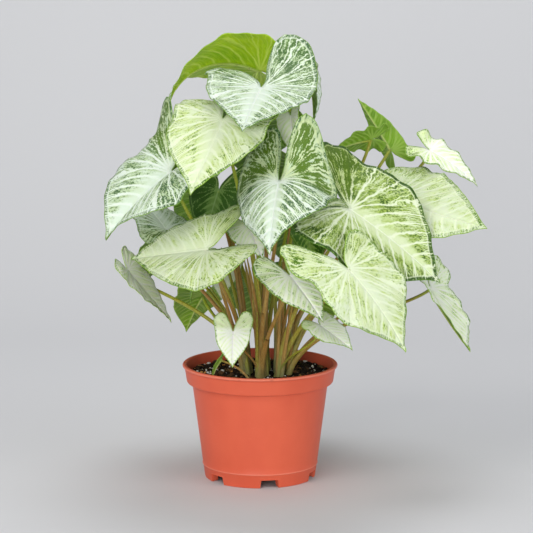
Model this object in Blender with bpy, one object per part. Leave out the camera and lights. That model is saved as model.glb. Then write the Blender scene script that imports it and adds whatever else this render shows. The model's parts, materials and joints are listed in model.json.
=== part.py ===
# Arrowhead plant in a 12 cm plastic nursery pot.
# Lengths in the tables are millimetres about the pot's axis, angles are degrees.
import bpy
import bmesh
import math
from mathutils import Vector

MM = 0.001

# Where the pot's axis stands, so that the whole plant is centred on the origin
POT_X = -28.2
POT_Y = 10.0

# Pot, a 12 cm nursery pot
POT_HEIGHT = 89.0
BEAD_RADIUS = 60.0
BAND_TOP_RADIUS = 58.4
BAND_LOW_RADIUS = 56.7
BAND_HEIGHT = 14.5
BODY_TOP_RADIUS = 52.6
BASE_RADIUS = 43.0
WALL = 1.4
SKIRT_WALL = 2.0
FLOOR_UNDER = 7.8
FLOOR_TOP = 9.2
RIDGE_HEIGHT = 10.8
POT_SIDES = 48

# Drain notches in the foot
NOTCHES = 6
NOTCH_TURN = 9.7
NOTCH_WIDTH = 16.0
NOTCH_HEIGHT = 6.7
NOTCH_INNER_LOW = 12.0
NOTCH_INNER_TOP = 8.6
NOTCH_DEPTH_RADIUS = 36.0
DRAIN_HOLE_RADIUS = 4.0
DRAIN_HOLE_RING = 30.0

# Soil
SOIL_LEVEL = 80.2
SOIL_UNEVEN = 0.75
SOIL_GAP = 0.35
SHOOT_SOCKET_DEPTH = 9.0

# Blades and leaf stalks
BLADE_THICKNESS = 0.7
BLADE_TO_STALK = 0.45
STALK_LOW_RADIUS = 2.5
STALK_TOP_RADIUS = 1.3
STALK_SIDES = 5
STALK_RINGS = 9
SHOOT_RADIUS = 3.6
TOUCH_GAP = 0.3

# Half outline of a leaf: share of the lobe's length, share of the body's length, share of the half width
OUTER_EDGE = [
    (-1.00, 0.000, 0.50), (-0.94, 0.000, 0.74), (-0.68, 0.000, 0.97), (-0.30, 0.000, 1.03),
    (0.00, 0.030, 0.97), (0.00, 0.220, 0.90), (0.00, 0.420, 0.75), (0.00, 0.620, 0.50),
    (0.00, 0.800, 0.235), (0.00, 0.925, 0.07), (0.00, 1.000, 0.00),
]
INNER_EDGE = [(-1.00, 0.50), (-0.90, 0.31), (-0.58, 0.155), (-0.24, 0.055), (0.00, 0.00)]
LOBE_SHARE = 0.3
LOBE_STEPS = 4
BODY_STEPS = 6

# Shoots: place of each one in the soil about the pot's axis
SHOOTS = {
    "shoot_1": (3, -7), "shoot_2": (11, 0), "shoot_3": (2, 4),
    "shoot_4": (0, -17), "shoot_5": (14, -14), "shoot_6": (21, -3), "shoot_7": (16, 11),
    "shoot_8": (4, 15), "shoot_9": (-9, 6), "shoot_10": (-10, -9), "shoot_11": (-7, -36),
}


def leaf(shoot, at, heading, tip_down, roll, length, width=0.52, lobes=(0.56, 0.56), splay=(12, 12),
         arch=20, fold=12, curl=10, lift=(0, 0), twist=0, waist=0.05, full=0.0, wave=0.015, waves=3.0,
         fine=False, bow=None, reach=0.25):
    """One leaf.

    heading 0 points to the front and grows to the right, tip_down tips it below level,
    roll raises its right-hand side when it points to the front.
    """
    return dict(shoot=shoot, at=at, heading=heading, tip_down=tip_down, roll=roll, length=length, width=width,
                lobes=lobes, splay=splay, arch=arch, fold=fold, curl=curl, lift=lift, twist=twist,
                waist=waist, full=full, wave=wave, waves=waves, fine=fine, bow=bow, reach=reach)


LEAVES = {
    # The big leaves of the front
    "leaf_top_front": leaf("shoot_1", (1, -45, 306), -10, 16, -6, 79, 0.54, (0.66, 0.55), (-15, 12),
                           arch=5, fold=8, curl=6, lift=(20, -10), waist=0.07, fine=True, bow=(6, 6, 0)),
    "leaf_upper_left": leaf("shoot_1", (-27, -70, 285), -24, 42, -3, 74, 0.53, (0.48, 0.59), (6, 9),
                            arch=0, fold=10, curl=8, lift=(-20, -40), full=0.12, waist=0, fine=True),
    "leaf_left": leaf("shoot_10", (-66, -45, 243), -68, 33, -18, 71, 0.58, (0.56, 0.66), (12, 24),
                      arch=24, fold=38, curl=34, lift=(0, 45), waist=0.14, full=0.19, fine=True),
    "leaf_centre": leaf("shoot_4", (14, -95, 242), -11, 33, 7, 66, 0.52, (0.56, 0.66), (-5, -8),
                        arch=26, fold=13, curl=38, twist=22, lift=(42, 15), full=0.09, waist=-0.1, fine=True),
    "leaf_right_big": leaf("shoot_5", (66, -70, 219), 92, 34, 34, 89, 0.62, (0.53, 0.49), (10, 19),
                           arch=14, fold=7, curl=5, twist=25, lift=(18, -38), full=0.19, waist=0, fine=True),
    "leaf_low_right": leaf("shoot_5", (63, -128, 184), 67, 43, 17, 73, 0.55, (0.43, 0.67), (23, 18),
                           arch=22, fold=0, curl=0, lift=(14, -5), full=0.38, waist=0, fine=True,
                           bow=(16, 38, 16)),
    "leaf_low_centre": leaf("shoot_4", (22, -85, 172), 47, 38, 20, 45, 0.50, (0.56, 0.53), (6, -2),
                            arch=15, fold=8, curl=14, fine=True),
    "leaf_mid_left": leaf("shoot_10", (-38, -85, 191), -127, 10, -43, 76, 0.51, (0.61, 0.41), (-17, 23),
                          arch=2, fold=20, curl=20, twist=-8, lift=(0, 10), full=-0.1, waist=-0.05, fine=True),
    "leaf_low_left": leaf("shoot_10", (-101, -16, 165), 105, 51, 22, 55, 0.50, (0.28, 0.35), (12, 12),
                          arch=0, fold=17, curl=12, fine=True, bow=(6, 36, 14)),
    "leaf_far_right": leaf("shoot_6", (103, 6, 216), 42, 9, 27, 99, 0.54, (0.45, 0.50), (10, 12),
                           arch=-5, fold=2, curl=10, twist=25, lift=(9, 0), waist=0.07, full=-0.25, fine=True),
    "leaf_right_droop": leaf("shoot_6", (129, -26, 153), 35, 46, -31, 63, 0.52, (0.56, 0.55), (14, 12),
                             arch=-8, fold=14, curl=4, lift=(9, 0), twist=-5, waist=0.15, full=0.34,
                             fine=True, bow=(0, 0, 14)),
    "leaf_top_left": leaf("shoot_3", (0, 37, 312), -89, -28, 31, 91, 0.51, (0.38, 0.38), (8, 8),
                          arch=100, fold=15, curl=8, waist=0.1, full=0.14, fine=True),
    "leaf_tiny_left": leaf("shoot_4", (-20, -60, 125), -5, 70, 0, 27, 0.52, (0.62, 0.58), (8, 8), arch=20),
    "leaf_small_right": leaf("shoot_5", (45, -70, 132), 65, 30, 13, 31, 0.56, (0.51, 0.40), (35, 12),
                             arch=5, fold=15, curl=14, waist=0.12, full=0.18),
    "leaf_seedling": leaf("shoot_11", (-29, -36, 100), -85, 48, 10, 17, 0.34, (0.3, 0.3), arch=30, fold=25,
                          bow=(-2, 0, 6)),
    # Leaves that show between or behind them
    "leaf_behind_left": leaf("shoot_9", (-72, -8, 195), -150, -30, 10, 50, 0.55, (0.6, 0.6), arch=15),
    "leaf_top_sliver": leaf("shoot_2", (38, -2, 310), 80, 75, 0, 34, 0.40, (0.4, 0.4), arch=20, fold=30),
    "leaf_standing": leaf("shoot_7", (104, 70, 246), -90, -60, 70, 44, 0.24, (0.35, 0.35), arch=15, fold=45,
                          reach=0.5),
    "leaf_wavy_green": leaf("shoot_7", (88, 48, 258), -80, 5, 45, 36, 0.42, (0.4, 0.4), arch=30, wave=0.06,
                            reach=0.5),
    "leaf_white_droop": leaf("shoot_7", (134, 60, 248), 75, 25, 25, 48, 0.38, (0.4, 0.4), arch=25, wave=0.05,
                             reach=0.7),
    "leaf_inner_pale": leaf("shoot_1", (-9, -58, 205), 20, 32, 30, 34, 0.50, arch=20),
    "leaf_low_pale": leaf("shoot_8", (-28, 36, 160), -10, 50, 0, 30, 0.50, arch=20),
    "leaf_low_green": leaf("shoot_9", (-47, 20, 158), -60, 60, 20, 27, 0.42, arch=20),
    "leaf_inner_white": leaf("shoot_2", (23, -44, 285), 10, 70, 50, 33, 0.36, (0.4, 0.4), arch=10, fold=30),
    "leaf_inner_left": leaf("shoot_9", (-32, 20, 222), -30, 55, -10, 46, 0.52, arch=15),
    "leaf_inner_right": leaf("shoot_6", (35, 5, 193), 25, 50, -10, 36, 0.52, arch=15),
    # The back of the plant, which the photograph hides, in three tiers
    "leaf_back_1": leaf("shoot_9", (-52, 48, 250), -135, 35, 0, 70, 0.54, reach=0.8),
    "leaf_back_2": leaf("shoot_8", (-8, 80, 262), -178, 32, 0, 74, 0.52, reach=0.8),
    "leaf_back_3": leaf("shoot_7", (34, 80, 232), 162, 35, 0, 62, 0.54, reach=0.8),
    "leaf_back_4": leaf("shoot_9", (-70, 56, 176), -132, 40, 0, 58, 0.54, reach=0.8),
    "leaf_back_5": leaf("shoot_8", (-36, 92, 206), -160, 40, 0, 66, 0.54, reach=0.8),
    "leaf_back_6": leaf("shoot_8", (22, 106, 184), 170, 40, 0, 68, 0.54, reach=0.8),
    "leaf_back_7": leaf("shoot_7", (84, 92, 190), 140, 38, 0, 58, 0.54, reach=0.8),
    "leaf_back_8": leaf("shoot_9", (-46, 72, 130), -150, 40, 0, 46, 0.54, reach=0.8),
    "leaf_back_9": leaf("shoot_8", (-6, 98, 134), 180, 45, 0, 52, 0.54, reach=0.8),
    "leaf_back_10": leaf("shoot_7", (42, 94, 136), 155, 42, 0, 54, 0.54, reach=0.8),
    "leaf_back_11": leaf("shoot_6", (88, 48, 142), 118, 42, 0, 48, 0.54, reach=0.8),
}


def clear_scene():
    for item in list(bpy.data.objects):
        bpy.data.objects.remove(item, do_unlink=True)


def make_material(name, colour, roughness):
    material = bpy.data.materials.new(name)
    material.use_nodes = True
    shader = material.node_tree.nodes["Principled BSDF"]
    shader.inputs["Base Color"].default_value = (*colour, 1.0)
    shader.inputs["Roughness"].default_value = roughness
    shader.inputs["Metallic"].default_value = 0.0
    material.diffuse_color = (*colour, 1.0)
    return material


def add_object(name, points, faces, material, root):
    mesh = bpy.data.meshes.new(name)
    mesh.from_pydata([tuple(c * MM for c in point) for point in points], [], faces)
    mesh.validate()
    mesh.materials.append(material)
    item = bpy.data.objects.new(name, mesh)
    bpy.context.scene.collection.objects.link(item)
    item.parent = root
    return item


def fix_normals(item):
    work = bmesh.new()
    work.from_mesh(item.data)
    bmesh.ops.recalc_face_normals(work, faces=work.faces)
    work.to_mesh(item.data)
    work.free()


def apply_modifiers(item):
    bpy.context.view_layer.update()
    graph = bpy.context.evaluated_depsgraph_get()
    mesh = bpy.data.meshes.new_from_object(item.evaluated_get(graph))
    item.modifiers.clear()
    item.data = mesh


def cut_or_join(item, others, operation):
    """Boolean with a collection of other objects, which are then removed."""
    group = bpy.data.collections.new(item.name + "_tools")
    bpy.context.scene.collection.children.link(group)
    for other in others:
        for owner in list(other.users_collection):
            owner.objects.unlink(other)
        group.objects.link(other)
    step = item.modifiers.new(operation.lower(), "BOOLEAN")
    step.operation = operation
    step.operand_type = "COLLECTION"
    step.collection = group
    step.solver = "EXACT"
    apply_modifiers(item)
    for other in list(group.objects):
        bpy.data.objects.remove(other, do_unlink=True)
    bpy.data.collections.remove(group)


def lathe(name, profile, sides, material, root):
    """Turn a profile that starts and ends on the axis, or closes on itself away from it."""
    points = []
    rings = []
    for radius, height in profile:
        if radius < 0.001:
            rings.append([len(points)])
            points.append((0.0, 0.0, height))
            continue
        ring = []
        for k in range(sides):
            turn = 2 * math.pi * k / sides
            ring.append(len(points))
            points.append((radius * math.cos(turn), radius * math.sin(turn), height))
        rings.append(ring)
    faces = []
    for first, second in zip(rings, rings[1:]):
        for k in range(sides):
            n = (k + 1) % sides
            if len(first) == 1:
                faces.append((first[0], second[k], second[n]))
            elif len(second) == 1:
                faces.append((first[k], second[0], first[n]))
            else:
                faces.append((first[k], second[k], second[n], first[n]))
    item = add_object(name, points, faces, material, root)
    fix_normals(item)
    return item


def block(name, corners, material, root):
    quads = [(0, 1, 2, 3), (4, 5, 6, 7), (0, 1, 5, 4), (1, 2, 6, 5), (2, 3, 7, 6), (3, 0, 4, 7)]
    faces = []
    for a, b, c, d in quads:
        faces.append((a, b, c))
        faces.append((a, c, d))
    item = add_object(name, corners, faces, material, root)
    fix_normals(item)
    return item


def wedge(turn, low, near, far):
    """Corners of a block on a ray from the axis: near and far are (radius, low width, top width, top)."""
    corners = []
    for radius, low_width, top_width, top in (near, far):
        for height, half, sides in ((low, low_width / 2, (-1, 1)), (top, top_width / 2, (1, -1))):
            for side in sides:
                x = radius * math.cos(turn) - side * half * math.sin(turn)
                y = radius * math.sin(turn) + side * half * math.cos(turn)
                corners.append((x, y, height))
    return corners


def build_pot(material, root):
    slope = (BODY_TOP_RADIUS - BASE_RADIUS) / (POT_HEIGHT - BAND_HEIGHT)

    def body(height):
        return BASE_RADIUS + slope * height

    band_low = POT_HEIGHT - BAND_HEIGHT
    profile = [
        (0.0, FLOOR_UNDER),
        (body(FLOOR_UNDER) - SKIRT_WALL, FLOOR_UNDER),
        (BASE_RADIUS - SKIRT_WALL, 0.0),
        (BASE_RADIUS - 0.5, 0.0),
        (BASE_RADIUS + 0.05, 0.8),
        (body(RIDGE_HEIGHT - 0.8), RIDGE_HEIGHT - 0.8),
        (body(RIDGE_HEIGHT) + 0.5, RIDGE_HEIGHT),
        (body(RIDGE_HEIGHT + 0.8), RIDGE_HEIGHT + 0.8),
        (BODY_TOP_RADIUS, band_low),
        (BAND_LOW_RADIUS - 0.9, band_low + 0.2),
        (BAND_LOW_RADIUS, band_low + 1.3),
        (BAND_TOP_RADIUS, POT_HEIGHT - 2.4),
        (BEAD_RADIUS - 0.5, POT_HEIGHT - 2.0),
        (BEAD_RADIUS, POT_HEIGHT - 1.2),
        (BEAD_RADIUS - 0.4, POT_HEIGHT - 0.2),
        (BEAD_RADIUS - 1.3, POT_HEIGHT),
        (BAND_TOP_RADIUS - WALL + 0.4, POT_HEIGHT - 0.4),
        (BAND_TOP_RADIUS - WALL - 0.2, POT_HEIGHT - 2.0),
        (BAND_LOW_RADIUS - WALL, band_low + 3.0),
        (BODY_TOP_RADIUS - WALL, band_low + 1.2),
        (body(FLOOR_TOP) - WALL, FLOOR_TOP),
        (0.0, FLOOR_TOP),
    ]
    pot = lathe("pot", profile, POT_SIDES, material, root)
    bosses = []
    cutters = []
    for k in range(NOTCHES):
        turn = math.radians(-90 + NOTCH_TURN + 360 / NOTCHES * k)
        boss_top = FLOOR_UNDER + 0.7
        corners = wedge(turn, 0.5, (37.5, 16, 16, boss_top), (41.6, 19, 19, boss_top))
        bosses.append(block("boss_%d" % k, corners, material, root))
        corners = wedge(turn, -1.0, (NOTCH_DEPTH_RADIUS, NOTCH_INNER_LOW, NOTCH_INNER_TOP, NOTCH_HEIGHT - 0.7),
                        (47.0, NOTCH_WIDTH + 1.0, NOTCH_WIDTH, NOTCH_HEIGHT))
        cutters.append(block("notch_%d" % k, corners, material, root))
        middle = turn + math.radians(180 / NOTCHES)
        ring = []
        for height in (FLOOR_UNDER - 2, FLOOR_TOP + 2):
            for side in range(12):
                angle = 2 * math.pi * side / 12
                x = DRAIN_HOLE_RING * math.cos(middle) + DRAIN_HOLE_RADIUS * math.cos(angle)
                y = DRAIN_HOLE_RING * math.sin(middle) + DRAIN_HOLE_RADIUS * math.sin(angle)
                ring.append((x, y, height))
        faces = [tuple(range(12)), tuple(range(12, 24))]
        for side in range(12):
            nxt = (side + 1) % 12
            faces.append((side, nxt, 12 + nxt, 12 + side))
        hole = add_object("drain_%d" % k, ring, faces, material, root)
        fix_normals(hole)
        cutters.append(hole)
    cut_or_join(pot, bosses, "UNION")
    cut_or_join(pot, cutters, "DIFFERENCE")
    return pot


def soil_height(x, y):
    """Uneven top of the soil, higher at the back left."""
    waves = math.sin(0.21 * x + 0.6) * math.cos(0.19 * y - 0.4) + 0.6 * math.sin(0.13 * x - 0.24 * y)
    return SOIL_LEVEL + SOIL_UNEVEN * waves + 0.01 * (y - x)


def build_soil(material, root):
    sides = 36
    slope = (BODY_TOP_RADIUS - BASE_RADIUS) / (POT_HEIGHT - BAND_HEIGHT)
    points = []
    rings = []
    low = FLOOR_TOP + SOIL_GAP
    wall_low = BASE_RADIUS + slope * low - WALL - SOIL_GAP - 0.1
    step = POT_HEIGHT - BAND_HEIGHT
    top = BAND_LOW_RADIUS - WALL - SOIL_GAP - 0.25
    rings.append(("point", 0.0, low))
    rings.append(("flat", wall_low, low))
    rings.append(("flat", BODY_TOP_RADIUS - WALL - SOIL_GAP - 0.25, step + 1.4))
    rings.append(("flat", top, step + 3.5))
    for radius in (top, top - 10, top - 20, top - 30, top - 40):
        rings.append(("bumpy", radius, 0.0))
    rings.append(("point", 0.0, None))
    index = []
    for kind, radius, height in rings:
        if kind == "point":
            index.append([len(points)])
            points.append((0.0, 0.0, soil_height(0, 0) if height is None else height))
            continue
        ring = []
        for k in range(sides):
            turn = 2 * math.pi * k / sides
            x = radius * math.cos(turn)
            y = radius * math.sin(turn)
            ring.append(len(points))
            points.append((x, y, soil_height(x, y) if kind == "bumpy" else height))
        index.append(ring)
    faces = []
    for first, second in zip(index, index[1:]):
        for k in range(sides):
            n = (k + 1) % sides
            if len(first) == 1:
                faces.append((first[0], second[k], second[n]))
            elif len(second) == 1:
                faces.append((first[k], second[0], first[n]))
            else:
                faces.append((first[k], second[k], second[n]))
                faces.append((first[k], second[n], first[n]))
    soil = add_object("soil", points, faces, material, root)
    fix_normals(soil)
    cutters = []
    for name, (x, y) in SHOOTS.items():
        floor = soil_height(x, y) - SHOOT_SOCKET_DEPTH - TOUCH_GAP
        radius = shoot_radius(name) + TOUCH_GAP
        cutters.append(straight_tube("socket_" + name, (x, y, floor), (x, y, SOIL_LEVEL + 20),
                                     radius / math.cos(math.pi / 8), 8, material, root))
    cut_or_join(soil, cutters, "DIFFERENCE")
    return soil


def shoot_radius(name):
    return 1.6 if name == "shoot_11" else SHOOT_RADIUS


def tube(name, path, radii, sides, material, root, end_normal=None):
    """Closed tube along a path, with flat ends."""
    points = []
    count = len(path)
    side_way = None
    for k in range(count):
        before = path[max(k - 1, 0)]
        after = path[min(k + 1, count - 1)]
        along = (after - before).normalized()
        if side_way is None:
            guide = Vector((1, 0, 0)) if abs(along.x) < 0.9 else Vector((0, 1, 0))
            side_way = (guide - along * guide.dot(along)).normalized()
        else:
            side_way = (side_way - along * side_way.dot(along)).normalized()
        across = along.cross(side_way)
        for s in range(sides):
            turn = 2 * math.pi * s / sides
            points.append(path[k] + radii[k] * (math.cos(turn) * side_way + math.sin(turn) * across))
    faces = [tuple(reversed(range(sides)))]
    for k in range(count - 1):
        for s in range(sides):
            n = (s + 1) % sides
            a = k * sides
            b = a + sides
            faces.append((a + s, a + n, b + n))
            faces.append((a + s, b + n, b + s))
    faces.append(tuple(range((count - 1) * sides, count * sides)))
    item = add_object(name, [tuple(p) for p in points], faces, material, root)
    fix_normals(item)
    return item


def straight_tube(name, low, high, radius, sides, material, root):
    return tube(name, [Vector(low), Vector(high)], [radius, radius], sides, material, root)


def smooth_point(controls, place):
    """Point on a smooth curve through the controls, place counted in controls."""
    last = len(controls) - 1
    place = min(max(place, 0.0), last - 1e-9)
    k = int(place)
    f = place - k
    p1 = controls[k]
    p2 = controls[k + 1]
    p0 = controls[k - 1] if k > 0 else tuple(2 * a - b for a, b in zip(p1, p2))
    p3 = controls[k + 2] if k + 2 <= last else tuple(2 * b - a for a, b in zip(p1, p2))
    out = []
    for a, b, c, d in zip(p0, p1, p2, p3):
        cubic = 2 * b + (c - a) * f + (2 * a - 5 * b + 4 * c - d) * f * f + (3 * b - a - 3 * c + d) * f ** 3
        out.append(cubic / 2)
    return out


def place_margin(row, values, side):
    """One outline control in shares of the leaf's length, forward and sideways."""
    back, ahead, out = row
    lobe = values["lobes"][side]
    forward = back * lobe + ahead
    sideways = out * values["width"]
    if ahead > 0:
        sideways *= 1 + values["full"] * math.sin(math.pi * ahead)
    sideways *= 1 - values["waist"] * math.exp(-((forward + 0.12) / 0.16) ** 2)
    turn = math.radians(values["splay"][side]) * min(max(-back / 0.6, 0), 1)
    return (forward * math.cos(turn) + sideways * math.sin(turn),
            sideways * math.cos(turn) - forward * math.sin(turn))


def flat_point(values, side, along, across):
    """Flat position: along 0 is the lobe's end and 1 the tip, across 0 is the inner edge or midrib."""
    outer = [place_margin(row, values, side) for row in OUTER_EDGE]
    inner = [place_margin((back, 0, out), values, side) for back, out in INNER_EDGE]
    if along < LOBE_SHARE:
        share = along / LOBE_SHARE * 4
        edge = smooth_point(outer, share)
        root = smooth_point(inner, share)
    else:
        share = (along - LOBE_SHARE) / (1 - LOBE_SHARE)
        edge = smooth_point(outer, 4 + share * 6)
        root = (share, 0.0)
    return (root[0] * (1 - across) + edge[0] * across, root[1] * (1 - across) + edge[1] * across)


def bend_point(values, side, flat):
    """Fold, curl, wave, twist and arch one flat position into space, in millimetres."""
    x, y = flat
    sign = 1 if side == 0 else -1
    lobe = values["lobes"][side]
    share = min(max(y / values["width"], 0), 1.3)
    z = y * (math.tan(math.radians(values["fold"])) - math.tan(math.radians(values["curl"])) * share)
    phase = 0.0 if side == 0 else 0.5
    z += values["wave"] * share ** 2 * math.sin(2 * math.pi * (values["waves"] * x + phase))
    behind = max(-x, 0)
    z += math.tan(math.radians(values["lift"][side])) * behind * behind / lobe
    sideways = sign * y
    twist = math.radians(values["twist"]) * x
    sideways, z = (sideways * math.cos(twist) - z * math.sin(twist), sideways * math.sin(twist) + z * math.cos(twist))
    bend = math.radians(values["arch"]) + 1e-6
    angle = max(x, 0) * bend
    ahead = math.sin(angle) / bend if x > 0 else x
    drop = -(1 - math.cos(angle)) / bend if x > 0 else 0.0
    return Vector((ahead + z * math.sin(angle), sideways, drop + z * math.cos(angle))) * values["length"]


def leaf_axes(values):
    """Midrib direction, the blade's plus side and its upper normal."""
    heading = math.radians(values["heading"])
    down = math.radians(values["tip_down"])
    roll = math.radians(values["roll"])
    midrib = Vector((math.sin(heading) * math.cos(down), -math.cos(heading) * math.cos(down), -math.sin(down)))
    level = Vector((math.cos(heading), math.sin(heading), 0))
    up = midrib.cross(level)
    side = level * math.cos(roll) + up * math.sin(roll)
    normal = up * math.cos(roll) - level * math.sin(roll)
    return midrib, side, normal


def leaf_rows(fine):
    lobe_steps = LOBE_STEPS if fine else 3
    body_steps = BODY_STEPS if fine else 5
    rows = [LOBE_SHARE * k / lobe_steps for k in range(lobe_steps)]
    rows += [LOBE_SHARE + (1 - LOBE_SHARE) * k / body_steps for k in range(body_steps + 1)]
    return rows, lobe_steps


def build_leaf(name, values, material, root):
    rows, first_body = leaf_rows(values["fine"])
    columns = 2
    midrib, side_way, normal = leaf_axes(values)
    start = Vector(values["at"])
    points = []
    shared = {}

    def vertex(side, row, column):
        along = rows[row]
        if row == len(rows) - 1:
            key = "tip"
        elif row == 0:
            key = ("lobe", side)
        elif column == 0 and row >= first_body:
            key = ("rib", row)
        else:
            key = (side, row, column)
        if key not in shared:
            local = bend_point(values, side, flat_point(values, side, along, column / columns))
            shared[key] = len(points)
            points.append(start + midrib * local.x + side_way * local.y + normal * local.z)
        return shared[key]

    faces = []
    for side in (0, 1):
        for row in range(len(rows) - 1):
            for column in range(columns):
                corners = [vertex(side, row, column), vertex(side, row + 1, column),
                           vertex(side, row + 1, column + 1), vertex(side, row, column + 1)]
                for triangle in ((0, 1, 2), (0, 2, 3)):
                    picked = [corners[k] for k in triangle]
                    if len(set(picked)) == 3:
                        faces.append(tuple(picked if side == 0 else reversed(picked)))
    blade = add_object(name, [tuple(p) for p in points], faces, material, root)
    face_up(blade, normal)
    solid = blade.modifiers.new("thickness", "SOLIDIFY")
    solid.thickness = BLADE_THICKNESS * MM
    solid.offset = -1.0
    blade.data.shade_smooth()
    return blade


def face_up(blade, normal):
    """Turn the sheet so that its faces look along the blade's upper normal."""
    total = sum((face.normal.dot(normal) * face.area for face in blade.data.polygons), 0.0)
    if total < 0:
        blade.data.flip_normals()


def stalk_path(values, base):
    midrib, side_way, normal = leaf_axes(values)
    start = Vector((base[0], base[1], soil_height(*base) + 0.5))
    seat = Vector(values["at"]) + midrib * 1.6
    lean = Vector((seat.x - start.x, seat.y - start.y, 0))
    outward = lean.normalized() if lean.length > 1 else Vector((0, -1, 0))
    arrive = (normal * 0.55 + Vector((0, 0, 0.75)) + outward * values["reach"]).normalized()
    reach = (seat - start).length
    first = start + Vector((0, 0, 0.45 * (seat.z - start.z))) + lean * 0.10
    second = seat - arrive * 0.28 * reach
    if values["bow"]:
        second = second + Vector(values["bow"])
        first = first + Vector(values["bow"]) * 0.6
    arrive = (seat - second).normalized()
    slant = math.sqrt(max(0.0, 1 - arrive.dot(normal) ** 2))
    end = seat - normal * (BLADE_THICKNESS + BLADE_TO_STALK + STALK_TOP_RADIUS * slant)
    path = []
    radii = []
    for k in range(STALK_RINGS):
        t = k / (STALK_RINGS - 1)
        u = 1 - t
        path.append(start * u ** 3 + first * 3 * u * u * t + second * 3 * u * t * t + end * t ** 3)
        thin = STALK_LOW_RADIUS + (STALK_TOP_RADIUS - STALK_LOW_RADIUS) * min(1, t * 1.5) ** 0.7
        radii.append(thin if values["length"] > 35 else max(0.75, thin * 0.62))
    return path, radii


def build_shoot(name, base, material, root):
    x, y = base
    top = soil_height(x, y)
    low = top - SHOOT_SOCKET_DEPTH
    stem = straight_tube(name, (x, y, low), (x, y, top + 5), shoot_radius(name), 8, material, root)
    stalks = []
    for leaf_name, values in LEAVES.items():
        if values["shoot"] == name:
            path, radii = stalk_path(values, base)
            stalks.append(tube("stalk_" + leaf_name, path, radii, STALK_SIDES, material, root))
    cut_or_join(stem, stalks, "UNION")
    return stem


def main():
    clear_scene()
    root = bpy.data.objects.new("pot_axis", None)
    bpy.context.scene.collection.objects.link(root)
    root.location = (POT_X * MM, POT_Y * MM, 0)
    plastic = make_material("pot_plastic", (0.73, 0.13, 0.065), 0.5)
    earth = make_material("soil", (0.03, 0.02, 0.014), 0.95)
    stalk = make_material("stem", (0.22, 0.17, 0.05), 0.5)
    blade = make_material("leaf", (0.55, 0.68, 0.45), 0.45)
    build_pot(plastic, root)
    build_soil(earth, root)
    for name, base in SHOOTS.items():
        build_shoot(name, base, stalk, root)
    for name, values in LEAVES.items():
        build_leaf(name, values, blade, root)


main()
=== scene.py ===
import bpy
import bmesh
import json
import math
import numpy as np
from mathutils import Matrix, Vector

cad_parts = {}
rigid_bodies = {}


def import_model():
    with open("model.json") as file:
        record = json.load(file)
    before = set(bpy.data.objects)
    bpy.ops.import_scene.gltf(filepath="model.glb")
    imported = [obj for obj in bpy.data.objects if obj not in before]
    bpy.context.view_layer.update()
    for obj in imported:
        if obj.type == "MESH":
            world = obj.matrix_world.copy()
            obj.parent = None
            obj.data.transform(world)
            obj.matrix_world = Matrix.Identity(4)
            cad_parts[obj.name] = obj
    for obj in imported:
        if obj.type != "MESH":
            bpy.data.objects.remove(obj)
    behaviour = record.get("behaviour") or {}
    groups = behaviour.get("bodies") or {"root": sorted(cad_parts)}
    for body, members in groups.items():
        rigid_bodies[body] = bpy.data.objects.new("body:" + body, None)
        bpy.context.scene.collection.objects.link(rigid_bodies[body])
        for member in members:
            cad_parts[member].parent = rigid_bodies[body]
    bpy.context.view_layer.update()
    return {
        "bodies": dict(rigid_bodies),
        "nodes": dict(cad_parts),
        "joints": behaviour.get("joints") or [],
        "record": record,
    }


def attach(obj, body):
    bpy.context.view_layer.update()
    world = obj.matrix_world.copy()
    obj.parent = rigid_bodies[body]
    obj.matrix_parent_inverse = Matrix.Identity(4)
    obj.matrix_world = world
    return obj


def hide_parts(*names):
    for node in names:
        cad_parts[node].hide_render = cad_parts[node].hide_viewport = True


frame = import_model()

MM = 0.001

# The pot's axis in the model's frame, millimetres
POT_X = -28.2
POT_Y = 10.0

# Pot: millimetres, and the notches' turn in degrees
POT_HEIGHT = 89.0
POT_SIDES = 168
BEAD_RADIUS = 60.0
BEAD_ROLL = 1.2
BAND_TOP_RADIUS = 58.4
BAND_LOW_RADIUS = 56.7
BAND_HEIGHT = 14.5
BAND_LOW = POT_HEIGHT - BAND_HEIGHT
BODY_TOP_RADIUS = 52.6
BASE_RADIUS = 43.0
WALL = 1.4
SKIRT_WALL = 2.0
FLOOR_UNDER = 7.8
FLOOR_TOP = 9.2
RIDGE_HEIGHT = 10.8
NOTCHES = 6
NOTCH_TURN = 9.7
NOTCH_WIDTH = 16.0
NOTCH_HEIGHT = 6.7
NOTCH_INNER_LOW = 12.0
NOTCH_INNER_TOP = 8.6
NOTCH_DEPTH_RADIUS = 36.0
NOTCH_OUTER_RADIUS = 47.0
# Boss over a notch: radius and width at its two ends
BOSS_ENDS = [(37.5, 16.0), (41.6, 19.0)]
DRAIN_HOLE_RADIUS = 4.0
DRAIN_HOLE_RING = 30.0
DRAIN_SIDES = 28
# Moulding marks: turn in degrees, height, half width, half height
POT_MARKS = [
    (-105.6, POT_HEIGHT - 1.4, 0.9, 0.5), (-81.3, POT_HEIGHT - 1.4, 0.9, 0.5), (-119.0, 5.0, 1.6, 0.6),
]

# Potting mix, in millimetres
SOIL_LEVEL = 80.2
SOIL_UNEVEN = 0.75
SOIL_EDGE = 54.4
SOIL_RINGS = 40
SOIL_SIDES = 120
CLEAR_OF_SHOOT = 4.2
# Loose bits on it: count, sizes, least and most thickness, roughness, how far above the mix
LOOSE_BITS = [
    ("bark_chips", 950, (1.8, 5.2), (0.35, 0.8), 0.42, 0.0),
    ("perlite_grains", 230, (1.0, 2.7), (0.7, 1.0), 0.25, 0.5),
    ("orange_bits", 90, (1.0, 2.4), (0.5, 0.9), 0.3, 0.5),
]
SEED = 7

# Blades: thickness and relief in millimetres, and the edge's ripple as a share of the length
BLADE_THICKNESS = 0.35
QUILT_HEIGHT = 0.5
RIB_DEPTH = 0.55
EDGE_RIPPLE = 0.0065
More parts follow.
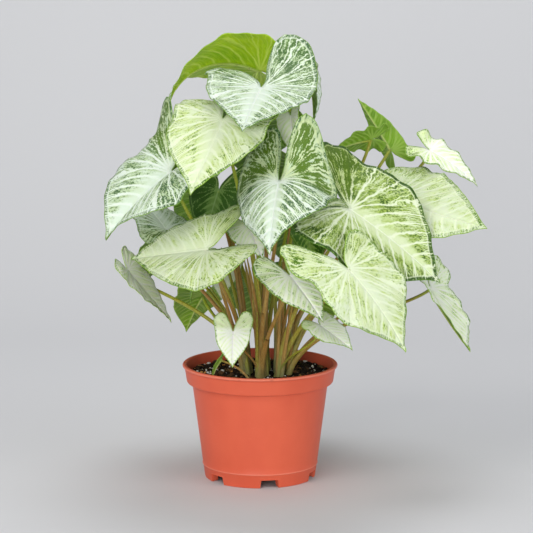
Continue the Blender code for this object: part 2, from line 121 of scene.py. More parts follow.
# Rows and columns of half a blade, and the share of the rows in its lobe
FINE_GRID = (84, 22)
PLAIN_GRID = (44, 12)
LOBE_ROWS = 0.36
# Veins: spacing as a share of the length, slant, sweep forward, and step of the fan in the lobes
VEIN_SPACING = 0.135
VEIN_SLANT = 0.60
VEIN_SWEEP = 0.85
FAN_STEP = 0.33
# The green rim's width: a share of the length, and millimetres on top
RIM_SHARE = 0.034
RIM_EXTRA = 0.4

# Leaf stalks, in millimetres; a leaf no longer than SMALL_LEAF has a thin one
STALK_LOW_RADIUS = 2.5
STALK_TOP_RADIUS = 1.3
STALK_SIDES = 12
STALK_STEPS = 40
RIB_STEPS = 22
SMALL_LEAF = 35
# Sheaths: points across and wrap in degrees
SHEATH_ARC = 15
SHEATH_WRAP = 250
# Stalks turn their groove to the clump's middle, and spare rolls lean away from CLUMP_X
CLUMP_MIDDLE = (6.0, -3.0)
CLUMP_X = 7.0
SPARE_SHEATHS = {
    "shoot_1": 3, "shoot_2": 3, "shoot_3": 3, "shoot_4": 3, "shoot_5": 3, "shoot_6": 2, "shoot_8": 3,
    "shoot_9": 2, "shoot_10": 2,
}

# Shifts that give each leaf, half, stalk and lump its own stretch of the noise
LEAF_OFFSET = 37.0
HALF_OFFSET = 11.0
STALK_OFFSET = 31.0
LUMP_OFFSET = 13.0

# Floor in metres, with the curve's turn in degrees
STAGE_FRONT = -4.0
STAGE_BACK = 0.55
STAGE_SIDE = 6.0
STAGE_RADIUS = 0.9
STAGE_CURVE = 54
STAGE_COLOUR = (0.645, 0.652, 0.668)

# Camera: millimetres for the lens and for the step to the right of the pot's axis, metres for the rest
CAMERA_LENS = 151.3
CAMERA_ASIDE = 5.0
CAMERA_BACK = 1.7
CAMERA_HEIGHT = 0.4405
CAMERA_AIM = 0.1645

# Lights: place, height of the aim, size, power, colour
LIGHTS = [
    ("key_light", (-1.1, -1.5, 1.7), 0.18, 1.3, 19, (1.0, 0.985, 0.95)),
    ("fill_light", (1.6, -1.1, 0.9), 0.18, 1.6, 12, (0.96, 0.98, 1.0)),
    ("front_light", (-0.4, -2.2, 0.45), 0.18, 1.1, 20, (1.0, 0.985, 0.95)),
    ("top_light", (0.1, 0.5, 1.9), 0.15, 1.2, 12, (1.0, 1.0, 1.0)),
]
WORLD_COLOUR = (0.96, 0.965, 1.0)
WORLD_STRENGTH = 0.36

# Undersides: green, deep green, veins
BLADE_UNDERS = {
    # Partly the undersides' own green, darkened as painted shade
    "blade_under_green": ((0.12, 0.23, 0.016), (0.055, 0.13, 0.008), (0.27, 0.42, 0.09)),
    # A brighter copy of the underside: painted light that shines through the blade
    "blade_under_bright": ((0.44, 0.64, 0.006), (0.23, 0.45, 0.002), (0.62, 0.78, 0.12)),
    "blade_under_fresh": ((0.19, 0.37, 0.010), (0.085, 0.22, 0.004), (0.36, 0.54, 0.10)),
}

# Upper sides: veins, pale and cream parts, tint, green, rim, margin, then the cover of body, lobes and rim.
# The last one has its own green in the lobes instead of OLIVE.
BLADE_TOPS = {
    # A whiter copy of the pale top, partly painted light for a leaf turned away from the lamps
    "blade_white": (
        (0.96, 0.99, 0.92), (0.90, 0.98, 0.78), (0.86, 0.96, 0.66), (0.68, 0.84, 0.36), (0.20, 0.36, 0.07),
        (0.10, 0.22, 0.03), (0.34, 0.52, 0.06), (0.0, 0.14, 0.44)),
    "blade_mint": (
        (0.80, 0.89, 0.80), (0.67, 0.79, 0.66), (0.62, 0.75, 0.55), (0.44, 0.58, 0.30), (0.105, 0.21, 0.05),
        (0.040, 0.115, 0.035), (0.18, 0.34, 0.03), (0.26, 0.34, 0.47)),
    "blade_cream": (
        (0.80, 0.89, 0.64), (0.71, 0.81, 0.57), (0.66, 0.77, 0.45), (0.50, 0.64, 0.18), (0.15, 0.30, 0.012),
        (0.065, 0.18, 0.008), (0.25, 0.44, 0.02), (0.06, 0.22, 0.42)),
    "blade_deep": (
        (0.80, 0.88, 0.66), (0.66, 0.77, 0.46), (0.58, 0.71, 0.32), (0.32, 0.46, 0.06), (0.12, 0.22, 0.006),
        (0.030, 0.095, 0.006), (0.12, 0.26, 0.02), (0.24, 0.38, 0.62)),
    # Partly the leaves' own pale colour, brightened as painted light for leaves that lie in shade
    "blade_pale": (
        (0.96, 1.00, 0.90), (0.88, 0.99, 0.74), (0.83, 0.97, 0.58), (0.56, 0.76, 0.22), (0.16, 0.34, 0.04),
        (0.06, 0.19, 0.02), (0.30, 0.50, 0.04), (0.10, 0.22, 0.52)),
    "blade_plain_green": (
        (0.34, 0.52, 0.10), (0.20, 0.38, 0.04), (0.15, 0.32, 0.02), (0.10, 0.25, 0.012), (0.07, 0.2, 0.008),
        (0.045, 0.14, 0.006), (0.22, 0.40, 0.04), (0.9, 0.2, 0.9)),
    "blade_shade_green": (
        (0.22, 0.36, 0.1), (0.13, 0.26, 0.05), (0.10, 0.22, 0.03), (0.07, 0.17, 0.015), (0.045, 0.13, 0.01),
        (0.03, 0.09, 0.008), (0.14, 0.27, 0.03), (0.8, 0.2, 0.9), (0.05, 0.14, 0.008)),
}
OLIVE = (0.100, 0.190, 0.006)
LOBE_VEIN = (0.56, 0.67, 0.26)
# Painted shade along the midrib's groove
RIB_GROOVE_PAINTED_SHADE = (0.34, 0.36, 0.25)

# Upper and under side of each leaf finish
FINISHES = {
    "mint": ("blade_mint", "blade_under_green"), "cream": ("blade_cream", "blade_under_green"),
    "deep": ("blade_deep", "blade_under_green"), "pale": ("blade_pale", "blade_under_green"),
    # bright has an underside with painted light shining through it
    "green": ("blade_plain_green", "blade_under_fresh"), "bright": ("blade_pale", "blade_under_bright"),
    # white puts the whiter copy on both sides, partly as painted light
    "shade": ("blade_shade_green", "blade_under_green"), "white": ("blade_white", "blade_white"),
}

# Control points of half a blade's outer edge: share of the lobe back, share of the length ahead, share of
# the half width out. Those of the sinus are without the share ahead.
OUTER_EDGE = [
    (-1.00, 0.000, 0.50), (-0.94, 0.000, 0.74), (-0.68, 0.000, 0.97), (-0.30, 0.000, 1.03),
    (0.00, 0.030, 0.97), (0.00, 0.220, 0.90), (0.00, 0.420, 0.75), (0.00, 0.620, 0.50),
    (0.00, 0.800, 0.235), (0.00, 0.925, 0.07), (0.00, 1.000, 0.00),
]
INNER_EDGE = [(-1.00, 0.50), (-0.90, 0.31), (-0.58, 0.155), (-0.24, 0.055), (0.00, 0.00)]
# Share of the edge in the lobe, and the spans between control points there and in the body
LOBE_SHARE = 0.3
LOBE_SPANS = 4
BODY_SPANS = 6

# Foot of each shoot: x and y from the pot's axis
SHOOTS = {
    "shoot_1": (3, -7), "shoot_2": (11, 0), "shoot_3": (2, 4),
    "shoot_4": (0, -17), "shoot_5": (14, -14), "shoot_6": (21, -3), "shoot_7": (16, 11),
    "shoot_8": (4, 15), "shoot_9": (-9, 6), "shoot_10": (-10, -9), "shoot_11": (-7, -36),
}

# A leaf's placing: its shoot, the sinus's place, three angles, and the length from sinus to tip. Width and
# lobes are shares of that length, and pairs are for the plus side and the other side.
# Its form, in degrees: splay of the lobes, arch of the midrib, fold and curl of the halves, lift of the
# lobes, twist. In shares: waist behind the sinus, fuller body, wave of the edge. Then the count of waves,
# a fine mesh, the stalk's bow in millimetres and reach outward, how green the lobes are, and the finish.
LEAF_PLACING = ("shoot", "at", "heading", "tip_down", "roll", "length", "width", "lobes", "splay")
LEAF_FORM = dict(
    width=0.52, lobes=(0.56, 0.56), splay=(12, 12), arch=20, fold=12, curl=10, lift=(0, 0), twist=0,
    waist=0.05, full=0.0, wave=0.015, waves=3.0, fine=False, bow=None, reach=0.25, green=(1.0, 1.0),
    finish="mint")


def leaf(*placed, **form):
    """One leaf: its placing in the order of LEAF_PLACING, and what of its form isn't as in LEAF_FORM."""
    return {**LEAF_FORM, **dict(zip(LEAF_PLACING, placed)), **form}


LEAVES = {
    # The big leaves of the front
    "leaf_top_front": leaf("shoot_1", (1, -45, 306), -10, 16, -6, 79, 0.54, (0.66, 0.55), (-15, 12),
        arch=5, fold=8, curl=6, lift=(20, -10), waist=0.07, fine=True, bow=(6, 6, 0),
        green=(0.5, 0.45), finish="mint"),
    "leaf_upper_left": leaf("shoot_1", (-27, -70, 285), -24, 42, -3, 74, 0.53, (0.48, 0.59), (6, 9),
        arch=0, fold=10, curl=8, lift=(-20, -40), full=0.12, waist=0, fine=True, green=(1.7, 0.4),
        finish="cream"),
    "leaf_left": leaf("shoot_10", (-66, -45, 243), -68, 33, -18, 71, 0.58, (0.56, 0.66), (12, 24),
        arch=24, fold=38, curl=34, lift=(0, 45), waist=0.14, full=0.19, fine=True, green=(0.8, 1.1),
        finish="mint"),
    "leaf_centre": leaf("shoot_4", (14, -95, 242), -11, 33, 7, 66, 0.52, (0.56, 0.66), (-5, -8),
        arch=26, fold=13, curl=38, twist=22, lift=(42, 15), full=0.09, waist=-0.1, fine=True,
        green=(1.7, 1.3), finish="mint"),
    "leaf_right_big": leaf("shoot_5", (66, -70, 219), 92, 34, 34, 89, 0.62, (0.53, 0.49), (10, 19),
        arch=14, fold=7, curl=5, twist=25, lift=(18, -38), full=0.19, waist=0, fine=True,
        green=(1.5, 0.15), finish="deep"),
    "leaf_low_right": leaf("shoot_5", (63, -128, 184), 67, 43, 17, 73, 0.55, (0.43, 0.67), (23, 18),
        arch=22, fold=0, curl=0, lift=(14, -5), full=0.38, waist=0, fine=True, bow=(16, 38, 16),
        green=(0.8, 0.6), finish="cream"),
    "leaf_low_centre": leaf("shoot_4", (22, -85, 172), 47, 38, 20, 45, 0.50, (0.56, 0.53), (6, -2),
        arch=15, fold=8, curl=14, fine=True, green=(1.0, 0.6), finish="pale"),
    "leaf_mid_left": leaf("shoot_10", (-38, -85, 191), -127, 10, -43, 76, 0.51, (0.61, 0.41),
        (-17, 23), arch=2, fold=20, curl=20, twist=-8, lift=(0, 10), full=-0.1, waist=-0.05, fine=True,
        green=(0.6, 1.3), finish="cream"),
    "leaf_low_left": leaf("shoot_10", (-101, -16, 165), 105, 51, 22, 55, 0.50, (0.28, 0.35), (12, 12),
        arch=0, fold=17, curl=12, fine=True, bow=(6, 36, 14), green=(0.3, 0.3), finish="white"),
    "leaf_far_right": leaf("shoot_6", (103, 6, 216), 42, 9, 27, 99, 0.54, (0.45, 0.50), (10, 12),
        arch=-5, fold=2, curl=10, twist=25, lift=(9, 0), waist=0.07, full=-0.25, fine=True,
        green=(0.6, 0.4), finish="cream"),
    "leaf_right_droop": leaf("shoot_6", (129, -26, 153), 35, 46, -31, 63, 0.52, (0.56, 0.55), (14, 12),
        arch=-8, fold=14, curl=4, lift=(9, 0), twist=-5, waist=0.15, full=0.34, fine=True,
        bow=(0, 0, 14), green=(0.5, 0.5), finish="pale"),
    "leaf_top_left": leaf("shoot_3", (0, 37, 312), -89, -28, 31, 91, 0.51, (0.38, 0.38), (8, 8),
        arch=100, fold=15, curl=8, waist=0.1, full=0.14, fine=True, finish="bright"),
    "leaf_tiny_left": leaf("shoot_4", (-20, -60, 125), -5, 70, 0, 27, 0.52, (0.62, 0.58), (8, 8),
        arch=20, finish="pale"),
    "leaf_small_right": leaf("shoot_5", (45, -70, 132), 65, 30, 13, 31, 0.56, (0.51, 0.40), (35, 12),
        arch=5, fold=15, curl=14, waist=0.12, full=0.18, finish="pale"),
    "leaf_seedling": leaf("shoot_11", (-29, -36, 100), -85, 48, 10, 17, 0.34, (0.3, 0.3), arch=30,
        fold=25, bow=(-2, 0, 6), finish="green"),
    # Leaves that show between or behind them
    "leaf_behind_left": leaf("shoot_9", (-72, -8, 195), -150, -30, 10, 50, 0.55, (0.6, 0.6), arch=15,
        finish="mint"),
    "leaf_top_sliver": leaf("shoot_2", (38, -2, 310), 80, 75, 0, 34, 0.40, (0.4, 0.4), arch=20,
        fold=30, finish="mint"),
    "leaf_standing": leaf("shoot_7", (104, 70, 246), -90, -60, 70, 51, 0.22, (0.35, 0.35), arch=15,
        fold=45, reach=0.5, finish="green"),
    "leaf_wavy_green": leaf("shoot_7", (88, 48, 258), -80, 5, 45, 36, 0.42, (0.4, 0.4), arch=30,
        wave=0.06, reach=0.5, finish="green"),
    "leaf_white_droop": leaf("shoot_7", (134, 60, 248), 75, 25, 25, 48, 0.38, (0.4, 0.4), arch=25,
        wave=0.05, reach=0.7, finish="pale"),
    "leaf_inner_pale": leaf("shoot_1", (-9, -58, 205), 20, 32, 30, 34, 0.50, arch=20, finish="pale"),
    "leaf_low_pale": leaf("shoot_8", (-28, 36, 160), -10, 50, 0, 30, 0.50, arch=20, finish="pale"),
    "leaf_low_green": leaf("shoot_9", (-47, 20, 158), -60, 60, 20, 27, 0.42, arch=20, finish="green"),
    "leaf_inner_white": leaf("shoot_2", (23, -44, 285), 10, 70, 50, 33, 0.36, (0.4, 0.4), arch=10,
        fold=30, finish="pale"),
    "leaf_inner_left": leaf("shoot_9", (-32, 20, 222), -30, 55, -10, 46, 0.52, arch=15,
        finish="shade"),
    "leaf_inner_right": leaf("shoot_6", (35, 5, 193), 25, 50, -10, 36, 0.52, arch=15, finish="green"),
}

# The back of the plant, which the photograph hides, in three tiers: shoot, place, heading, tip down,
# length, width, finish
BACK_LEAVES = [
    ("shoot_9", (-52, 48, 250), -135, 35, 70, 0.54, "mint"),
    ("shoot_8", (-8, 80, 262), -178, 32, 74, 0.52, "deep"),
    ("shoot_7", (34, 80, 232), 162, 35, 62, 0.54, "cream"),
    ("shoot_9", (-70, 56, 176), -132, 40, 58, 0.54, "mint"),
    ("shoot_8", (-36, 92, 206), -160, 40, 66, 0.54, "green"),
    ("shoot_8", (22, 106, 184), 170, 40, 68, 0.54, "deep"),
    ("shoot_7", (84, 92, 190), 140, 38, 58, 0.54, "mint"),
    ("shoot_9", (-46, 72, 130), -150, 40, 46, 0.54, "green"),
    ("shoot_8", (-6, 98, 134), 180, 45, 52, 0.54, "cream"),
    ("shoot_7", (42, 94, 136), 155, 42, 54, 0.54, "green"),
    ("shoot_6", (88, 48, 142), 118, 42, 48, 0.54, "cream"),
]
for number, (shoot, at, heading, tip_down, length, width, finish) in enumerate(BACK_LEAVES, 1):
    LEAVES["leaf_back_%d" % number] = leaf(shoot, at, heading, tip_down, 0, length, width, reach=0.8,
                                           finish=finish)


class Value:
    """A shader socket that takes part in Python arithmetic."""

    def __init__(self, maker, socket):
        self.maker = maker
        self.socket = socket

    def math(self, operation, *others):
        return self.maker.node("ShaderNodeMath", {"operation": operation}, self, *others)

    def reflected(self, operation, first):
        return self.maker.node("ShaderNodeMath", {"operation": operation}, first, self)

    def __add__(self, other):
        return self.math("ADD", other)

    def __mul__(self, other):
        return self.math("MULTIPLY", other)

    def __sub__(self, other):
        return self.math("SUBTRACT", other)

    def __truediv__(self, other):
        return self.math("DIVIDE", other)

    def __rsub__(self, other):
        return self.reflected("SUBTRACT", other)

    def __rtruediv__(self, other):
        return self.reflected("DIVIDE", other)

    __radd__ = __add__
    __rmul__ = __mul__


class Maker:
    """Builds one material's nodes."""

    def __init__(self, name):
        self.material = bpy.data.materials.new(name)
        self.material.use_nodes = True
        self.tree = self.material.node_tree
        self.shader = self.tree.nodes["Principled BSDF"]

    def node(self, kind, settings=None, *values, output=0, **named):
        """Any node: its settings first, then the values or links of its sockets."""
        made = self.tree.nodes.new(kind)
        for key, setting in (settings or {}).items():
            if key == "stops":
                self.set_stops(made, setting)
            else:
                setattr(made, key, setting)
        for place, value in enumerate(values):
            self.feed(made.inputs[place], value)
        for key, value in named.items():
            self.feed(made.inputs[key], value)
        return Value(self, made.outputs[output])

    def set_stops(self, made, stops):
        points = made.color_ramp.elements
        while len(points) < len(stops):
            points.new(0.5)
        for point, (place, colour) in zip(points, stops):
            point.position = place
            point.color = (*colour, 1.0)

    def feed(self, socket, value):
        """Link a value to a socket, or set a plain number, colour or vector on it."""
        if isinstance(value, Value):
            self.tree.links.new(value.socket, socket)
        elif isinstance(value, tuple) and socket.type == "RGBA":
            socket.default_value = (*value, 1.0)
        else:
            socket.default_value = value

    def attribute(self, name):
        """A number stored at each point."""
        return self.node("ShaderNodeAttribute", {"attribute_name": name}, output=2)

    def vector(self, name):
        """A vector stored at each point."""
        return self.node("ShaderNodeAttribute", {"attribute_name": name}, output=1)

    def mix(self, share, low, high):
        """Blend of two colours."""
        made = self.tree.nodes.new("ShaderNodeMix")
        made.data_type = "RGBA"
        for place, value in ((0, share), (6, low), (7, high)):
            self.feed(made.inputs[place], value)
        return Value(self, made.outputs[2])

    def ramp(self, value, stops):
        return self.node("ShaderNodeValToRGB", {"stops": stops}, value)

    def noise(self, vector, size, detail=3.0, rough=0.55, distort=0.0):
        """Noise whose size is its lumps to the millimetre, all round or along each axis."""
        size = size if isinstance(size, tuple) else (size, size, size)
        vector = self.node("ShaderNodeVectorMath", {"operation": "MULTIPLY"}, vector, size)
        return self.node("ShaderNodeTexNoise", {"noise_dimensions": "3D"}, Vector=vector, Scale=1.0,
                         Detail=detail, Roughness=rough, Distortion=distort)

    def steps(self, value, low, high):
        """0 below low, 1 above high, smooth between."""
        settings = {"interpolation_type": "SMOOTHSTEP"}
        return self.node("ShaderNodeMapRange", settings, value, low, high, 0.0, 1.0)

    def bump(self, height, strength, distance):
        return self.node("ShaderNodeBump", {}, Strength=strength, Distance=distance, Height=height)

    def finish(self, colour, roughness, normal=None, soft=None, **fixed):
        """Link what changes over the surface, and set the rest on the shader's own sockets.

        soft is the weight, radius and scale of the light that enters the surface."""
        self.feed(self.shader.inputs["Base Color"], colour)
        self.feed(self.shader.inputs["Roughness"], roughness)
        if normal is not None:
            self.feed(self.shader.inputs["Normal"], normal)
        if soft:
            fixed.update(zip(("Subsurface_Weight", "Subsurface_Radius", "Subsurface_Scale"), soft))
        for key, value in fixed.items():
            self.shader.inputs[key.replace("_", " ")].default_value = value
        return self.material


def vein_lines(m, wobble):
    """Main laterals, their forks, the veins between them and the fine ones, each from 0 to 1."""
    out = m.attribute("out")
    gauge = m.attribute("gauge")
    line = m.attribute("vein") + wobble
    near = line.math("PINGPONG", 0.5)
    width = 1.6 - out * 0.85
    main = 1 - m.steps(near * gauge / width, 0.2, 1.0)
    fork_gap = (near - m.steps(out, 0.34, 0.95) * 0.29).math("ABSOLUTE")
    fork = (1 - m.steps(fork_gap * gauge / width, 0.15, 0.75)) * m.steps(out, 0.34, 0.46)
    middle = (1 - m.steps((0.5 - near) * gauge, 0.1, 0.7)) * m.steps(out, 0.15, 0.4)
    fine = (line * 5 + wobble * 3).math("PINGPONG", 0.5)
    return main, fork, middle, 1 - m.steps(fine, 0.06, 0.3)


def blade_top(name, veined, pale, cream, tint, green, rim, margin, cover, olive=OLIVE):
    """Upper side of a variegated blade: pale ground, white veins, green dashes between them, a green rim.

    cover is how green the blade is as a whole, in its lobes and in its rim."""
    m = Maker(name)
    grain = m.vector("grain")
    flat = m.vector("flat")
    lobe = m.attribute("lobe")
    rib = m.attribute("rib")
    out = m.attribute("out")
    body_cover, lobe_cover, rim_cover = cover

    # Veins and the noise that breaks them up
    wobble = (m.noise(flat, (0.07, 0.07, 1.0), 2.0) - 0.5) * 0.5
    wobble = wobble + (m.noise(flat, (0.24, 0.24, 1.0), 2.0) - 0.5) * 0.34
    main, fork, middle, fine = vein_lines(m, wobble)
    cloud = m.noise(flat, (0.028, 0.028, 1.0), 2.0)
    patch = m.noise(flat, (0.10, 0.10, 1.0), 2.0)
    wash = m.noise(grain, (0.34, 0.11, 1.0), 3.0, 0.6, 0.3)
    dash = m.noise(grain, (1.20, 0.50, 1.0), 3.0, 0.62, 0.4)
    fleck = m.noise(flat, (0.95, 0.95, 1.0), 3.0, 0.6)
    rib_line = 1 - m.steps(rib, 0.35, 1.1)
    rib_glow = 1 - m.steps(rib, 1.0, 12.0)

    # The pale ring inside the rim, and what lies beyond it
    ring = m.attribute("ring") + (patch - 0.5) * 3.4 + (cloud - 0.5) * 2.0 + (fleck - 0.5) * 1.0
    ring_line = 1 - m.steps(ring.math("ABSOLUTE"), 0.1, 1.0)
    beyond = 1 - m.steps(ring, -0.8, 0.3)

    # Green dashes, denser away from the sinus and in the lobes
    far = m.steps(out, 0.05, 0.5)
    share = body_cover * far + lobe_cover * 0.88 * lobe * m.steps(out, 0.06, 0.4) - (1 - far) * 0.22
    share = share + (patch - 0.5) * (lobe * 1.2 + 0.8) + (cloud - 0.5) * 0.6
    veins = 1 - (1 - main * 0.9) * (1 - fork * (lobe * 0.25 + 0.45)) * (1 - middle * 0.2)
    inner = share - veins * 0.55 - rib_glow * 0.2 - fine * (lobe * 0.12 + 0.06) - middle * lobe * 0.25
    dashes = m.steps(dash * 0.62 + fleck * 0.38 + inner * 0.34, 0.560, 0.630)
    soft = m.steps(wash + inner * 0.55, 0.34, 0.76)
    rim_level = rim_cover - fork * 0.15 - main * 0.35 - fine * 0.15
    rim_level = rim_level + (fleck - 0.5) * 1.3 + (dash - 0.5) * 1.1
    rim_dashes = m.steps(rim_level + (cloud - 0.5) * 0.8 + 0.04, 0.34, 0.50)
    spots = dashes * (1 - ring_line * 0.8) * (1 - beyond)
    spots = spots + rim_dashes * beyond * (1 - ring_line * 0.5)
    spots = spots * (1 - m.steps(fleck + (dash - 0.5) * 0.4, 0.60, 0.68) * 0.5)

    # Pale ground with the veins
    ground = m.mix(m.steps(cloud + (fleck - 0.5) * 0.3, 0.38, 0.62), pale, cream)
    ground = m.mix(soft * 0.9, ground, tint)
    ground = m.mix(m.steps(lobe, 0.3, 1.2) * far * 0.4, ground, tint)
    white = m.mix(m.steps(lobe, 0.2, 1.3) * 0.75, veined, LOBE_VEIN)
    ground = m.mix(1 - (1 - veins * 0.85) * (1 - ring_line * 0.6), ground, white)
    ground = m.mix(rib_glow * 0.28, ground, veined)

    # The greens, then the midrib, painted shade along its groove and the very edge over all
    dark = m.steps(fleck + (cloud - 0.5) + (patch - 0.5) * 0.5 + beyond * 0.2, 0.42, 0.68)
    leafy = m.mix(dark, green, rim)
    lobe_green = m.steps(lobe, 0.2, 1.0) * (1 - beyond) * (0.85 - m.steps(dash, 0.5, 0.66) * 0.5)
    leafy = m.mix(lobe_green, leafy, olive)
    colour = m.mix(spots, ground, leafy)
    colour = m.mix(beyond * 0.12, colour, leafy)
    colour = m.mix(rib_line * 0.9, colour, tuple(min(1.0, part * 1.05 + 0.02) for part in veined))
    # Painted shade in the midrib's groove
    colour = m.mix((1 - m.steps(rib, 0.04, 0.2)) * 0.45, colour, RIB_GROOVE_PAINTED_SHADE)
    colour = m.mix((1 - m.steps(m.attribute("edge"), 0.3, 0.8)) * 0.85, colour, margin)
    height = veins * -0.45 + fine * -0.12 + rib_line * -0.8 + fleck * 0.25 - soft * 0.1
    return m.finish(colour, 0.44 + spots * 0.05 + (dash - 0.5) * 0.12, m.bump(height, 0.45, 0.0007),
                    (0.1, (0.7, 1.0, 0.25), 0.0006), Specular_IOR_Level=0.26, Coat_Weight=0.03,
                    Coat_Roughness=0.3)


def blade_under(name, green, deep_green, vein_colour):
    """Underside: plain green with paler veins."""
    m = Maker(name)
    flat = m.vector("flat")
    wobble = (m.noise(flat, (0.07, 0.07, 1.0), 2.0) - 0.5) * 0.55
    main, fork, middle, fine = vein_lines(m, wobble)
    rib_line = 1 - m.steps(m.attribute("rib"), 0.4, 1.2)
    cloud = m.noise(flat, (0.05, 0.05, 1.0), 3.0)
    streak = m.noise(m.vector("grain"), (0.95, 0.17, 1.0), 4.0, 0.65)
    ground = m.mix(m.steps(cloud * 0.6 + streak * 0.4, 0.35, 0.65), deep_green, green)
    bare = (1 - main * 0.6) * (1 - fork * 0.35) * (1 - middle * 0.25) * (1 - fine * 0.12)
    colour = m.mix(1 - bare * (1 - rib_line * 0.8), ground, vein_colour)
    colour = m.mix((1 - m.steps(m.attribute("edge"), 0.3, 1.1)) * 0.5, colour, vein_colour)
    normal = m.bump(main * 0.7 + fork * 0.3 + fine * 0.15, 0.4, 0.0006)
    return m.finish(colour, 0.46 + cloud * 0.08, normal, (0.1, (0.6, 1.0, 0.15), 0.001),
                    Specular_IOR_Level=0.25)


def stalk_skin():
    """Leaf stalks: some tan, some olive, both pale at the foot and green at the top, with long streaks."""
    m = Maker("leaf_stalk")
    place = m.vector("place")
    streaks = m.noise(place, (1.3, 1.3, 0.05))
    cloud = m.noise(place, (0.05, 0.05, 0.02), 2.0)
    shade = m.attribute("along") + (cloud - 0.5) * 0.35
    tan = m.ramp(shade, [
        (0.00, (0.30, 0.32, 0.16)), (0.07, (0.36, 0.32, 0.12)), (0.20, (0.46, 0.29, 0.085)),
        (0.48, (0.42, 0.22, 0.050)), (0.72, (0.34, 0.24, 0.040)), (0.90, (0.36, 0.42, 0.05)),
        (1.00, (0.48, 0.60, 0.18)),
    ])
    olive = m.ramp(shade, [
        (0.00, (0.30, 0.36, 0.16)), (0.15, (0.38, 0.40, 0.06)), (0.50, (0.38, 0.38, 0.03)),
        (0.85, (0.32, 0.42, 0.03)), (1.00, (0.46, 0.60, 0.16)),
    ])
    colour = m.mix(m.steps(m.attribute("tone") + (streaks - 0.5) * 0.5, 0.45, 0.75), tan, olive)
    colour = m.mix(m.steps(streaks, 0.52, 0.74) * 0.45, colour, (0.56, 0.47, 0.20))
    colour = m.mix(m.steps(streaks, 0.30, 0.48) * -0.5 + 0.5, colour, (0.16, 0.095, 0.028))
    scars = m.steps(m.noise(place, (0.5, 0.5, 0.35), 2.0), 0.6, 0.75)
    colour = m.mix(scars * 0.4, colour, (0.13, 0.07, 0.022))
    return m.finish(colour, 0.38 + streaks * 0.12, m.bump(streaks, 0.3, 0.0004),
                    (0.15, (0.8, 0.8, 0.3), 0.002), Specular_IOR_Level=0.32)


def dry_sheath():
    m = Maker("dry_sheath")
    lines = m.noise(m.vector("place"), (1.6, 1.6, 0.04))
    colour = m.mix(m.steps(lines, 0.35, 0.7), (0.34, 0.25, 0.12), (0.50, 0.42, 0.26))
    colour = m.mix(m.steps(m.attribute("along"), 0.5, 1.0) * 0.4, colour, (0.22, 0.13, 0.05))
    return m.finish(colour, 0.6 + lines * 0.1, m.bump(lines, 0.4, 0.0004), (0.1, (0.8, 0.6, 0.3), 0.002))


def pot_plastic():
    """Terracotta-coloured plastic, paler where it is scuffed, with a paler line along the moulding ridge, a
    painted highlight along the bead and painted shade inside.
    """
    m = Maker("terracotta_plastic")
    place = m.vector("place")
    mottle = m.noise(place, (0.03, 0.03, 0.02))
    grain = m.noise(place, 1.4)
    scuffs = m.noise(place, (0.08, 0.08, 0.9), 4.0, 0.7)
    colour = m.mix(m.steps(mottle, 0.3, 0.7), (0.68, 0.105, 0.047), (0.73, 0.122, 0.056))
    colour = m.mix(m.steps(scuffs, 0.62, 0.8) * 0.22, colour, (0.90, 0.27, 0.16))
    colour = m.mix(m.steps(grain, 0.60, 0.75) * 0.2, colour, (0.55, 0.08, 0.035))
    # Paler line along the moulding ridge, and a painted highlight along the bead
    colour = m.mix(m.attribute("worn") * 0.55, colour, (0.95, 0.42, 0.30))
    colour = m.mix(m.attribute("mark") * 0.6, colour, (0.36, 0.05, 0.025))
    # Painted shade inside the pot: its inner wall and floor are darker
    colour = m.mix(m.attribute("inside") * 0.4, colour, (0.36, 0.06, 0.03))
    return m.finish(colour, 0.46 + (mottle - 0.5) * 0.1 + grain * 0.06, m.bump(grain, 0.12, 0.0003),
                    (0.04, (1.0, 0.35, 0.2), 0.002), Specular_IOR_Level=0.45)


def mix_ground():
    m = Maker("potting_mix")
    place = m.vector("place")
    lumps = m.noise(place, 0.45, 5.0, 0.7)
    fine = m.noise(place, 2.2)
    colour = m.mix(m.steps(lumps, 0.35, 0.65), (0.006, 0.004, 0.003), (0.028, 0.016, 0.010))
    colour = m.mix(m.steps(fine, 0.58, 0.7) * 0.4, colour, (0.08, 0.045, 0.024))
    return m.finish(colour, 0.9 + fine * 0.05, m.bump(lumps * 0.8 + fine * 0.4, 0.9, 0.0014),
                    Specular_IOR_Level=0.15)


def bark_chip():
    m = Maker("bark_chip")
    fibre = m.noise(m.vector("place"), 0.9, 4.0, 0.7)
    colour = m.ramp(m.attribute("tone") + (fibre - 0.5) * 0.5, [
        (0.0, (0.006, 0.004, 0.003)), (0.50, (0.018, 0.011, 0.007)), (0.78, (0.065, 0.034, 0.016)),
        (1.0, (0.24, 0.12, 0.045)),
    ])
    return m.finish(colour, 0.82 + fibre * 0.1, m.bump(fibre, 0.7, 0.0009), Specular_IOR_Level=0.2)


def perlite_grain():
    m = Maker("perlite")
    pores = m.noise(m.vector("place"), 2.2, 3.0, 0.7)
    colour = m.mix(m.steps(pores, 0.4, 0.65), (0.62, 0.60, 0.55), (0.90, 0.89, 0.86))
    return m.finish(colour, 0.85 + pores * 0.1, m.bump(pores, 0.7, 0.0006), (0.1, (1.0, 0.9, 0.8), 0.001))


def orange_bit():
    m = Maker("orange_bit")
    marks = m.noise(m.vector("place"), 1.4)
    colour = m.mix(marks, (0.46, 0.17, 0.03), (0.70, 0.36, 0.10))
    return m.finish(colour, 0.7 + marks * 0.15, m.bump(marks, 0.5, 0.0005))


def curve_through(controls, places):
    """Smooth curve through the controls, read at places counted in controls."""
    controls = np.asarray(controls, float)
    last = len(controls) - 1
    ends = np.vstack([2 * controls[0] - controls[1], controls, 2 * controls[-1] - controls[-2]])
    places = np.clip(np.asarray(places, float), 0, last - 1e-9)
    k = np.floor(places).astype(int)
    f = (places - k)[:, None]
    a, b, c, d = ends[k], ends[k + 1], ends[k + 2], ends[k + 3]
    square = 2 * a - 5 * b + 4 * c - d
    cube = 3 * b - a - 3 * c + d
    return (2 * b + (c - a) * f + square * f ** 2 + cube * f ** 3) / 2


